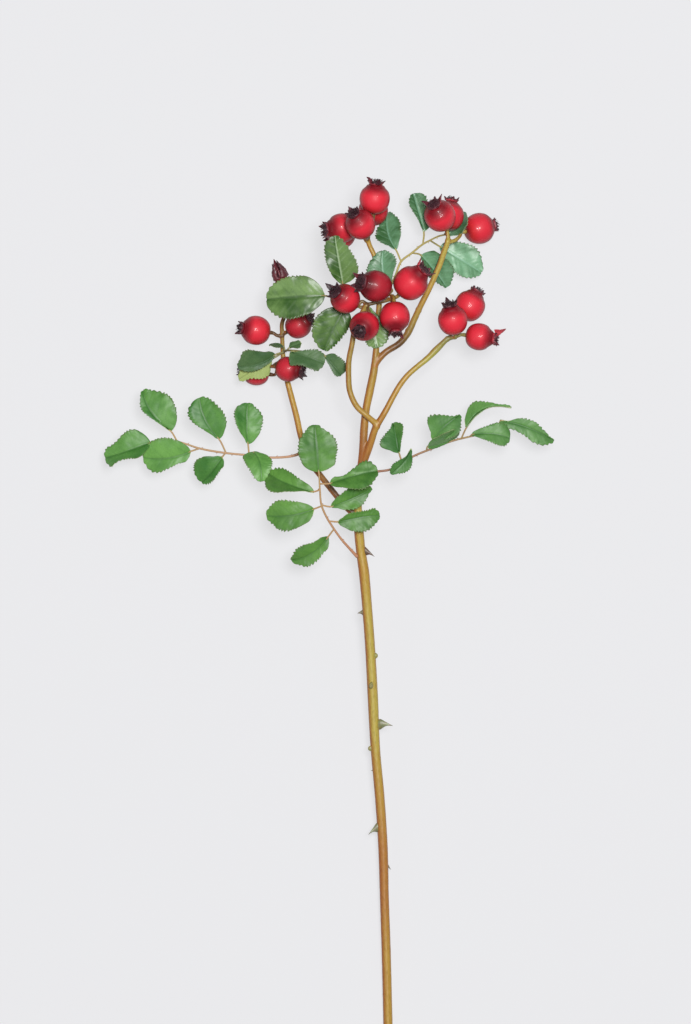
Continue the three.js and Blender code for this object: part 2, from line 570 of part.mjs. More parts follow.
// A hip about its own axis, from the stalk end at -Y to the calyx end at +Y
function hipGeometry({ radius, neck, mouth = MOUTH_RADIUS }) {
  const top = HIP_TOP + neck;
  const profile = [[0, -HIP_BASE], ...HIP_PROFILE, [mouth, top], [0, top]];
  const outline = profile.map(([across, along]) => new THREE.Vector2(across * radius, along * radius));
  return new THREE.LatheGeometry(outline, HIP_SIDES);
}

// A dried calyx about its own axis: a rim round a tuft of old stamens. Each sepal is drawn up from its
// own stretch of the rim, leans out from the axis and ends in a point.
function calyxSolid({ radius, mouth = MOUTH_RADIUS, crown }) {
  const rim = radius * mouth;
  const aside = () => chance(-SEPAL_SPREAD_CHANCE, SEPAL_SPREAD_CHANCE);
  const columns = [];
  for (let i = 0; i < SEPAL_COUNT; i += 1) {
    const middle = crown.first + (360 * i) / SEPAL_COUNT + aside();
    columns.push(radians(middle - SEPAL_HALF_ARC), radians(middle + SEPAL_HALF_ARC));
  }
  const points = [];
  const triangles = [];
  const place = (angle, across, along) => (
    points.push(new THREE.Vector3(across * Math.sin(angle), along, across * Math.cos(angle))) - 1);
  const ring = ([share, height]) => columns.map((angle) => place(angle, rim * share, height));
  const quad = (a, b, c, d) => triangles.push([a, b, c], [a, c, d]);
  const foot = ring([1, 0]);
  const wall = ring(CALYX_WALL);
  const outer = ring(CALYX_OUTER_EDGE);
  const inner = ring(CALYX_INNER_EDGE);
  const tuft = ring(CALYX_TUFT);
  const bottom = place(0, 0, 0);
  const top = place(0, 0, CALYX_TOP);
  columns.forEach((angle, i) => {
    const next = (i + 1) % columns.length;
    triangles.push([bottom, foot[next], foot[i]], [top, tuft[i], tuft[next]]);
    quad(foot[i], foot[next], wall[next], wall[i]);
    quad(wall[i], wall[next], outer[next], outer[i]);
    quad(inner[i], inner[next], tuft[next], tuft[i]);
    if (i % 2 === 1) {
      quad(outer[i], outer[next], inner[next], inner[i]);
    }
  });
  for (let i = 0; i < SEPAL_COUNT; i += 1) {
    const [left, right] = [2 * i, 2 * i + 1];
    const angle = (columns[left] + columns[right]) / 2;
    const half = crown.sepals[i] / 2;
    const spread = crown.spread + aside();
    const root = [outer[left], outer[right], inner[right], inner[left]];
    const lower = radians(spread * SEPAL_LOWER_LEAN);
    const upper = radians(spread * SEPAL_UPPER_LEAN);
    const across = rim * SEPAL_ROOT_RADIUS + half * Math.sin(lower);
    const along = SEPAL_ROOT_HEIGHT + half * Math.cos(lower);
    const middle = [[-1, 1], [1, 1], [1, -1], [-1, -1]].map(([wide, deep]) => {
      const depth = deep * SEPAL_HALF_DEPTH;
      const spot = place(angle, across + depth * Math.cos(lower), along - depth * Math.sin(lower));
      const sideways = new THREE.Vector3(Math.cos(angle), 0, -Math.sin(angle));
      points[spot].addScaledVector(sideways, wide * SEPAL_HALF_WIDTH);
      return spot;
    });
    const tip = place(angle, across + half * Math.sin(upper), along + half * Math.cos(upper));
    for (let j = 0; j < 4; j += 1) {
      const next = (j + 1) % 4;
      quad(root[j], root[next], middle[next], middle[j]);
      triangles.push([middle[j], middle[next], tip]);
    }
  }
  return solidOf(points, triangles);
}

// The frame of a leaflet: along its length, out of its upper face, and to its left
function bladeFrame({ base, tip, turn }) {
  const along = vec(tip).sub(vec(base)).normalize();
  const face = UP.clone().addScaledVector(along, -UP.dot(along)).normalize();
  face.applyAxisAngle(along, radians(turn));
  const left = face.clone().cross(along);
  return { along, face, left };
}

// Half width of a blade along its length, as a share of its greatest
function bladeOutline(share, widest) {
  const shifted = share ** (Math.log(0.5) / Math.log(widest));
  return Math.sin(Math.PI * shifted) ** BLADE_FULLNESS;
}

function midribPoint(leaflet, frame, share) {
  const length = vec(leaflet.tip).distanceTo(vec(leaflet.base));
  return vec(leaflet.base)
    .addScaledVector(frame.along, length * share)
    .addScaledVector(frame.face, leaflet.arch * length * 4 * share * (1 - share));
}

// A toothed blade: one sheet of triangles, laid on both faces and closed round the edge
function blade(leaflet) {
  const frame = bladeFrame(leaflet);
  const sheet = [];
  const faces = [];
  const edgePoint = (share, side, cut) => {
    const fold = radians(leaflet.folds[side > 0 ? 0 : 1]);
    const reach = (leaflet.width / 2) * bladeOutline(share, leaflet.widest ?? WIDEST) * (1 - cut);
    return midribPoint(leaflet, frame, share)
      .addScaledVector(frame.left, side * reach * Math.cos(fold))
      .addScaledVector(frame.face, reach * Math.sin(fold));
  };
  const middle = [];
  for (let i = 0; i <= BLADE_TEETH; i += 1) {
    middle.push(sheet.push(midribPoint(leaflet, frame, i / BLADE_TEETH)) - 1);
  }
  const rims = [1, -1].map((side) => {
    const rim = [middle[0]];
    for (let i = 0; i < BLADE_TEETH; i += 1) {
      const lastTooth = i === BLADE_TEETH - 1;
      rim.push(sheet.push(edgePoint((i + TOOTH_PLACE) / BLADE_TEETH, side, 0)) - 1);
      if (lastTooth) {
        rim.push(middle[BLADE_TEETH]);
      } else {
        rim.push(sheet.push(edgePoint((i + 1) / BLADE_TEETH, side, NOTCH_DEPTH)) - 1);
      }
      const [notch, tooth, after] = rim.slice(-3);
      const fan = [[middle[i], tooth, middle[i + 1]]];
      if (i > 0) {
        fan.push([middle[i], notch, tooth]);
      }
      if (!lastTooth) {
        fan.push([middle[i + 1], tooth, after]);
      }
      faces.push(...fan.map(([a, b, c]) => (side > 0 ? [a, c, b] : [a, b, c])));
    }
    return rim;
  });
  const normals = sheet.map(() => new THREE.Vector3());
  faces.forEach(([a, b, c]) => {
    const normal = sheet[b].clone().sub(sheet[a]).cross(sheet[c].clone().sub(sheet[a]));
    [a, b, c].forEach((corner) => normals[corner].add(normal));
  });
  const count = sheet.length;
  const lift = (side) => sheet.map((point, i) => (
    point.clone().addScaledVector(normals[i].clone().normalize(), (side * BLADE_THICKNESS) / 2)));
  const points = [...lift(1), ...lift(-1)];
  const triangles = [...faces, ...faces.map(([a, b, c]) => [a + count, c + count, b + count])];
  const loop = [...rims[1], ...rims[0].slice(1, -1).reverse()];
  loop.forEach((from, i) => {
    const to = loop[(i + 1) % loop.length];
    triangles.push([from, from + count, to], [to, from + count, to + count]);
  });
  return solidOf(points, triangles);
}

// A leaflet with its stalk, which runs on a little way inside the blade
function leafletSolids(leaflet) {
  const frame = bladeFrame(leaflet);
  const way = [[...leaflet.root, LEAF_STALK_RADIUS]];
  way.push([...midribPoint(leaflet, frame, 0).toArray(), LEAF_STALK_RADIUS]);
  way.push([...midribPoint(leaflet, frame, LEAF_STALK_END).toArray(), LEAF_STALK_END_RADIUS]);
  return [blade(leaflet), tube(way, LEAF_STALK_SIDES)];
}

function leafSolid({ rachis, leaflets }) {
  return fuse([tube(rachis, STALK_SIDES), ...leaflets.flatMap(leafletSolids)]);
}

// The sprig
const sprig = new THREE.Group();
const tables = new THREE.Group();
sprig.add(tables);

function addPart(name, geometry, look) {
  const mesh = new THREE.Mesh(geometry, new THREE.MeshStandardMaterial(look));
  mesh.name = name;
  tables.add(mesh);
  return mesh;
}

addPart('stem', geometryOf(stemSolid()), WOOD);

for (const [name, hip] of Object.entries(HIPS)) {
  const axis = vec(hip.facing).normalize();
  const turned = new THREE.Quaternion().setFromUnitVectors(new THREE.Vector3(0, 1, 0), axis);
  const skin = WINE_HIPS.includes(name) ? WINE_SKIN : RIPE_SKIN;
  const body = hipGeometry(hip);
  if (hip.rests) {
    body.applyQuaternion(turned).translate(...hip.at);
    addPart(`hip_${name}`, geometryOf(aboveFloor(solidOfGeometry(body))), skin);
  } else {
    const mesh = addPart(`hip_${name}`, geometryOf(solidOfGeometry(body)), skin);
    mesh.quaternion.copy(turned);
    mesh.position.set(...hip.at);
  }
  const calyx = addPart(`calyx_${name}`, geometryOf(calyxSolid(hip)), DRIED_CALYX);
  calyx.quaternion.copy(turned);
  calyx.position.copy(vec(hip.at).addScaledVector(axis, (HIP_TOP + hip.neck) * hip.radius + JOINT_GAP));
}

for (const [name, leaf] of Object.entries(LEAVES)) {
  addPart(name, geometryOf(leafSolid(leaf)), name === 'leaf_upper' ? BLUISH_LEAF : GREEN_LEAF);
}

// The frame's origin stands on the surface, under the middle of the whole sprig's box
const middleOfAll = new THREE.Box3().setFromObject(tables, true).getCenter(new THREE.Vector3());
tables.position.set(-middleOfAll.x, -middleOfAll.y, 0);

export default sprig;
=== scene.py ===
"""Rose hip sprig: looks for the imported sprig, laid out as an add-on and run as a script.

The construction tables are in millimetres, as in the part's source: X to the right, Y from the cut end to
the tips, Z up from the surface. Every mesh is made in them and put in the frame by placed().
"""

import math
import random

import bpy
import numpy as np
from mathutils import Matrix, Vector, kdtree, noise


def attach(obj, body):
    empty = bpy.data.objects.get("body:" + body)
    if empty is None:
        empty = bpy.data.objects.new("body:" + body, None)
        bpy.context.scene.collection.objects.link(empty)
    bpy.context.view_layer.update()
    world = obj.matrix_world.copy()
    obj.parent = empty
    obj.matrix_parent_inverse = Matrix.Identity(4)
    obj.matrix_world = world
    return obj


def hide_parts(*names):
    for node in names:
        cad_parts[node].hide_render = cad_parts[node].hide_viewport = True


bl_info = {
    "name": "Rose Hip Sprig",
    "version": (1, 0, 0),
    "blender": (4, 5, 0),
    "location": "View3D > Sidebar > Rose Hips",
    "description": "Builds the stem, hips, dried calyxes and leaves of a rose hip sprig",
    "category": "Object",
}

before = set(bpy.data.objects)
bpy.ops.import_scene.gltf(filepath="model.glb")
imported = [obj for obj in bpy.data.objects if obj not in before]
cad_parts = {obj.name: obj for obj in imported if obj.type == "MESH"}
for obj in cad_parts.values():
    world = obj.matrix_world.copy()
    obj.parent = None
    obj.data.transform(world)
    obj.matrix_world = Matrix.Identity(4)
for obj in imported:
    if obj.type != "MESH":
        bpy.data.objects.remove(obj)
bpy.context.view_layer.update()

MM = 0.001
# The point of the tables that stands at the frame's origin
MIDDLE = np.array([-10.3227, 223.7270, 0.0])
SEED = 71

# The gap that the solids leave between a hip and its stalk or calyx
JOINT_GAP = 0.3
# A hip's stalk: its radius on its way, just before the hip and at the hip, and its straight stretch there
STALK_START_RADIUS = 0.85
STALK_RADIUS = 0.75
STALK_END_RADIUS = 1.0
STALK_STRAIGHT = 1.6
# How far a stalk runs into its hip, as a share of the hip's radius
STALK_SUNK = 0.14
# The wood: step along each way, sides of each tube, and rounds of smoothing once they are fused
WOOD_STEP = 0.8
WOOD_SIDES = 20
WOOD_SMOOTHING = 4
# Share of its true length at which the bark's grain is laid along the wood, which draws patterns into streaks
GRAIN_STRETCH = 0.16

# A hip, as shares of its radius: from its middle to its stalk end and to its calyx end without the neck, and
# the radius of its calyx end where none is given
HIP_BASE = 0.96
HIP_TOP = 0.96
MOUTH_RADIUS = 0.38
# Height on a hip, as a share of its radius, under which painted shade starts to turn its red to wine
HIP_PAINTED_SHADE_EDGE = 0.88
# Points round a hip, and its size against the solid's, which keeps its lumps inside
HIP_COLUMNS = 56
HIP_SHARE = 0.99

# Height over a hip's end where sepals and where tatters grow from, and the sepals' thickness
SEPAL_FOOT = 0.45
TATTER_FOOT = 0.6
SEPAL_THICKNESS = 0.36
# Old stamens in a calyx
STAMENS = 34

# A blade's rows of points, its columns on each side of the midrib, and its side veins on each side
BLADE_ROWS = 97
BLADE_SIDE_COLUMNS = 12
SIDE_VEINS = 7
# How far a side vein runs to the tip for each millimetre that it runs out from the midrib
SIDE_VEIN_SLANT = 0.84
# The part of a blade that leans this way is painted paler, and the part that leans away darker
PAINTED_LIGHT_WAY = np.array([-0.5, -0.86, 0.0])

# The stage, in metres: the floor's half width, its drop under the sprig, what the lights aim at, the height
# at which the picture is measured, and the width of the camera's sensor in millimetres
FLOOR_REACH = 3.0
FLOOR_DROP = 0.0002
LIGHTS_AIM = (0.008, 0.08, 0.03)
PICTURE_LEVEL = 0.03
SENSOR_WIDTH = 36.0

# Main stem, from the cut end up: x, y, z and radius. Its underside is flat at the cut end.
MAIN_STEM = [
    [19.5, 0, 2.0, 2.35],
    [19.3, 14, 2.05, 2.35],
    [18.8, 37, 3.6, 2.3],
    [18.15, 62, 5.4, 2.3],
    [17.3, 87, 7.4, 2.25],
    [16.6, 112, 9.5, 2.38],
    [15, 137, 11.8, 2.42],
    [12.75, 162, 14.2, 2.38],
    [11.5, 187, 16.8, 2.6],
    [10.15, 212, 19.6, 2.5],
    [8.25, 237, 22.6, 2.5],
    [6.85, 252, 24.4, 2.6],
    [5.35, 262, 25.6, 2.4],
    [4.4, 272, 26.8, 2.4],
    [3.75, 284.5, 28.4, 2.2],
    [5.2, 300, 30.2, 2.05],
    [6.5, 312, 31.6, 2.0],
    [7, 322, 32.8, 2.0],
    [8, 332, 34, 1.9],
    [10, 342, 35.2, 2.0],
    [12, 352, 36.4, 1.9],
    [13, 362, 37.5, 1.55],
    [14, 377, 38.8, 1.5],
    [14.5, 384.5, 39.4, 1.4],
    [13.6, 397, 40, 1.25],
    [12, 409, 40.8, 1.2],
    [9.5, 414.5, 41.3, 1.2],
    [8.5, 418, 42, 1.25],
]

# Side branches, each from inside the wood that carries it
LEFT_BRANCH = [
    [3.6, 278, 27.6, 1.9],
    [0.5, 281.5, 28, 1.8],
    [-2.5, 284, 27.6, 1.6],
    [-7.5, 290, 26.6, 1.5],
    [-11.5, 295, 25.6, 1.5],
    [-15, 299.5, 24.4, 1.5],
    [-20, 306, 22.6, 1.5],
    [-24.5, 318.5, 20, 1.5],
    [-27, 329.5, 18, 1.5],
    [-30, 341, 16.6, 1.45],
    [-31.5, 347, 16.2, 1.4],
    [-33, 354.5, 16.2, 1.3],
    [-33.75, 362, 16.8, 1.1],
    [-34, 369.5, 18, 1.0],
    [-34, 376, 19.5, 0.95],
    [-32, 380.5, 20.4, 0.9],
]
FORKED_BRANCH = [
    [5.3, 301, 30.2, 1.6],
    [7.5, 307.5, 32, 1.75],
    [10, 314.5, 34.2, 1.75],
    [12, 321, 36.2, 1.75],
    [13.75, 325.5, 37.2, 1.75],
]
MIDDLE_BRANCH = [
    [13.5, 324.5, 37, 1.6],
    [9, 328.5, 38.4, 1.4],
    [3.5, 333.5, 39.2, 1.4],
    [0, 341, 40, 1.4],
    [-0.75, 349.5, 41, 1.4],
    [-0.5, 357, 42, 1.35],
    [1, 364.5, 43, 1.3],
    [2.3, 372, 43.5, 1.3],
    [6, 380, 44.4, 1.3],
    [8, 384, 45.2, 1.4],
]
RIGHT_BRANCH = [
    [12.4, 354, 36.7, 1.5],
    [13.8, 356.6, 37, 1.7],
    [17.5, 360.5, 37, 1.6],
    [25, 365.5, 36, 1.65],
    [29, 370.5, 34.8, 1.65],
    [32, 377, 33.4, 1.6],
    [35, 383.5, 31.6, 1.45],
    [38.5, 390.5, 29.8, 1.45],
    [42, 398, 28, 1.4],
    [45, 405, 26.2, 1.4],
    [47, 411, 24.4, 1.45],
    [48.5, 415, 23.2, 1.3],
    [49, 418, 22.2, 1.1],
]
OUTER_BRANCH = [
    [13.6, 324.5, 37, 1.6],
    [17.5, 331, 37.8, 1.5],
    [21.5, 338.5, 37.8, 1.4],
    [25, 344.5, 37.6, 1.4],
    [29, 349.5, 37.4, 1.35],
    [33.5, 353.5, 37, 1.35],
    [39, 358, 36.5, 1.45],
    [43.5, 362.5, 36, 1.65],
    [46.5, 365.5, 35.6, 1.3],
    [49, 368, 35.2, 1.15],
]

# Prickles: the place of the root on the wood's axis, the tip, and half the root's length along the wood
PRICKLES = [
    {"root": [5.6, 261.5, 25.5], "tip": [12.3, 258.6, 27], "half": 2.3},
    {"root": [8.7, 229.5, 21.8], "tip": [3.7, 230.2, 22.6], "half": 2.0},
    {"root": [10.3, 209, 19.3], "tip": [14, 209, 20.5], "half": 2.4},
    {"root": [11.2, 194.5, 17.6], "tip": [10.2, 193.5, 23.4], "half": 2.3},
    {"root": [12.3, 173.5, 15.4], "tip": [21.5, 173.7, 17.2], "half": 2.7},
    {"root": [12.8, 162.4, 14.2], "tip": [9, 162.2, 15.4], "half": 2.3},
    {"root": [13.8, 151, 13.1], "tip": [10.4, 151, 13.6], "half": 1.1},
    {"root": [15.9, 123, 10.5], "tip": [9.2, 118.8, 12], "half": 2.5},
    {"root": [10.4, 206, 18.9], "tip": [9, 204.4, 12.2], "half": 2.3},
    {"root": [16.7, 104, 8.8], "tip": [20.6, 101, 4.4], "half": 2.3},
]

# Hips. at: middle. facing: from the stalk end to the calyx end. neck: extra length at the calyx end, and
# mouth: its radius there, as shares of the hip's radius. stalk: its way from the branch to just before the
# hip. crown: the sepals' lengths, their spread from the hip's axis and the first one's place, in degrees.
HIPS = {
    "top_1": {
        "at": [12.25, 436.4, 52], "radius": 7.65, "facing": [0.08, 1, 0.16], "neck": 0.0, "mouth": 0.42,
        "stalk": [[8.4, 417, 41.5], [10.3, 421, 47], [11.5, 425, 50]],
        "crown": {"sepals": [1.8, 1.2, 1.4, 4.4, 3.8], "spread": 56, "first": 100},
    },
    "top_2": {
        "at": [11.5, 431.25, 36.8], "radius": 7.5, "facing": [0.1, 0.9, -0.4], "neck": 0.04,
        "stalk": [[8.6, 417, 41.6], [9.8, 420.5, 41.2]],
        "crown": {"sepals": [1.8, 1.4, 1.6, 2.0, 1.6], "spread": 40, "first": 20},
    },
    "top_3": {
        "at": [5.25, 423.75, 57], "radius": 7.5, "facing": [-0.43, 0.63, 0.64], "neck": 0.04,
        "stalk": [[8.5, 417, 41.6], [8.7, 417.4, 46.5]],
        "crown": {"sepals": [1.6, 1.4, 2.2, 1.6, 1.5], "spread": 35, "first": 50},
    },
    "top_4": {
        "at": [-4, 422.5, 44], "radius": 7.5, "facing": [-0.96, -0.1, 0.25], "neck": 0.04, "mouth": 0.44,
        "stalk": [[8.3, 417, 41.7], [6.5, 420.6, 41.2]],
        "crown": {"sepals": [2.0, 1.6, 2.4, 1.8, 2.0], "spread": 34, "first": 10},
    },
    "top_5": {
        "at": [-4.25, 419.5, 29], "radius": 7, "facing": [-0.7, -0.3, -0.6], "neck": 0.02,
        "stalk": [[8.9, 416, 41.4], [6, 418.5, 37.4]],
        "crown": {"sepals": [1.6, 1.4, 1.6, 1.4, 1.6], "spread": 40, "first": 30},
    },
    "right_1": {
        "at": [45, 429, 29.5], "radius": 8, "facing": [-0.35, 0.645, 0.68], "neck": 0.02,
        "stalk": [[48.9, 417, 22.5], [48.9, 420.6, 22.7]],
        "crown": {"sepals": [4.2, 1.6, 3.6, 1.4, 1.5], "spread": 48, "first": 100},
    },
    "right_2": {
        "at": [49.75, 429.5, 14], "radius": 7.5, "facing": [0.15, 0.97, -0.2], "neck": 0.03,
        "stalk": [[49, 416.8, 22.4], [49.5, 419, 18.4]],
        "crown": {"sepals": [1.6, 1.2, 2.2, 1.4, 1.4], "spread": 42, "first": 75},
    },
    "right_3": {
        "at": [64.75, 423.5, 7.5], "radius": 7.9, "facing": [0.86, 0.2, -0.34], "neck": 0.0, "mouth": 0.34,
        "stalk": [[48.7, 415.8, 22.9], [53, 417.4, 18.6], [55.4, 420, 13.6]],
        "crown": {"sepals": [1.0, 1.2, 1.1, 1.2, 1.0], "spread": 30, "first": 40},
    },
    "middle_1": {
        "at": [-2.25, 387, 52], "radius": 7.4, "facing": [-0.62, 0.42, 0.66], "neck": 0.03, "mouth": 0.42,
        "stalk": [[8.3, 384.4, 45.2], [6, 386, 45.3]],
        "crown": {"sepals": [2.4, 1.8, 4.0, 1.8, 1.6], "spread": 46, "first": 60},
    },
    "middle_2": {
        "at": [13, 393.25, 52.5], "radius": 8, "facing": [-0.8, 0.17, 0.56], "neck": 0.1, "mouth": 0.5,
        "stalk": [[8, 384.3, 45.2], [13, 385.4, 45.2], [18, 388.4, 45.6]],
        "crown": {"sepals": [3.0, 2.2, 3.4, 2.8, 2.4], "spread": 34, "first": 15},
    },
    "middle_3": {
        "at": [30, 394.75, 50.5], "radius": 8.5, "facing": [0.68, 0.68, 0.28], "neck": 0.1, "mouth": 0.44,
        "stalk": [[13, 385.4, 45.2], [17, 386, 45.2], [21, 387.2, 46.4]],
        "crown": {"sepals": [3.2, 1.8, 2.2, 3.6, 1.8], "spread": 30, "first": 70},
    },
    "middle_4": {
        "at": [7.25, 373.5, 52.4], "radius": 7.5, "facing": [-0.3, -0.33, 0.9], "neck": 0.02,
        "stalk": [[8, 383.6, 45.1], [9.6, 380.2, 44]],
        "crown": {"sepals": [1.6, 1.8, 1.5, 1.8, 1.6], "spread": 36, "first": 25},
    },
    "middle_5": {
        "at": [22.25, 378.25, 52], "radius": 7.65, "facing": [0.05, -0.96, 0.25], "neck": 0.02,
        "stalk": [[20.4, 387, 46.2], [21.2, 388.7, 48]],
        "crown": {"sepals": [2.8, 1.4, 1.2, 1.4, 1.8], "spread": 36, "first": 85},
    },
    "outer_1": {
        "at": [51.25, 376.5, 40], "radius": 7.5, "facing": [-0.17, 0.93, 0.3], "neck": 0.03, "mouth": 0.44,
        "stalk": [[48.6, 367.6, 35.3], [50.6, 368, 36]],
        "crown": {"sepals": [1.8, 1.4, 3.4, 1.4, 1.6], "spread": 50, "first": 40},
    },
    "outer_2": {
        "at": [59.75, 384, 28.5], "radius": 7.75, "facing": [0.45, 0.85, -0.15], "neck": 0.02, "mouth": 0.42,
        "stalk": [[48.8, 367.6, 35.2], [51.6, 370.6, 31.8]],
        "crown": {"sepals": [1.2, 3.0, 1.4, 1.3, 1.5], "spread": 44, "first": 110},
    },
    "outer_3": {
        "at": [64.25, 368.5, 36], "radius": 6.9, "facing": [0.97, -0.12, 0.15], "neck": 0.08, "mouth": 0.42,
        "stalk": [[48.4, 367.3, 35.3], [52.6, 368.3, 34.9]],
        "crown": {"sepals": [5.2, 1.6, 1.5, 2.2, 1.6], "spread": 34, "first": 75},
    },
    "left_1": {
        "at": [-47, 372, 20], "radius": 7.4, "facing": [-0.95, 0.14, 0.22], "neck": 0.0, "mouth": 0.38,
        "stalk": [[-34, 369, 18], [-37, 369.7, 18.3]],
        "crown": {"sepals": [1.8, 2.0, 1.6, 2.0, 1.8], "spread": 24, "first": 15},
    },
    "left_2": {
        "at": [-26, 374.4, 21.6], "radius": 6.6, "facing": [0.8, 0.45, 0.35], "neck": 0.04, "mouth": 0.44,
        "stalk": [[-34, 369.6, 18]],
        "crown": {"sepals": [2.4, 2.0, 2.0, 2.4, 2.0], "spread": 36, "first": 50},
    },
    "left_3": {
        "at": [-31.2, 352.6, 25], "radius": 6.4, "facing": [0.95, -0.18, 0.22], "neck": 0.04, "mouth": 0.46,
        "stalk": [[-33.2, 357, 16.4], [-36.6, 355.6, 17.4], [-39, 353.8, 20.4]],
        "crown": {"sepals": [2.2, 2.0, 2.2, 2.0, 2.2], "spread": 30, "first": 0},
    },
    "left_4": {
        "at": [-47, 351.5, 6.65], "radius": 7, "facing": [-0.95, 0.18, 0.02], "neck": 0.02,
        "stalk": [[-32.7, 353, 16.2], [-36.4, 352.4, 12.4]],
        "crown": {"sepals": [1.8, 2.0, 1.8, 1.8, 2.0], "spread": 30, "first": 20},
    },
    "left_5": {
        "at": [-31.5, 390.5, 22], "radius": 7.25, "facing": [-0.36, 0.92, 0.1], "neck": 0.1, "mouth": 0.44,
        "stalk": [[-32.8, 379.3, 20.1]],
        "crown": {"sepals": [7.0, 5.6, 8.0, 4.6, 6.4], "spread": 20, "first": 30},
    },
}

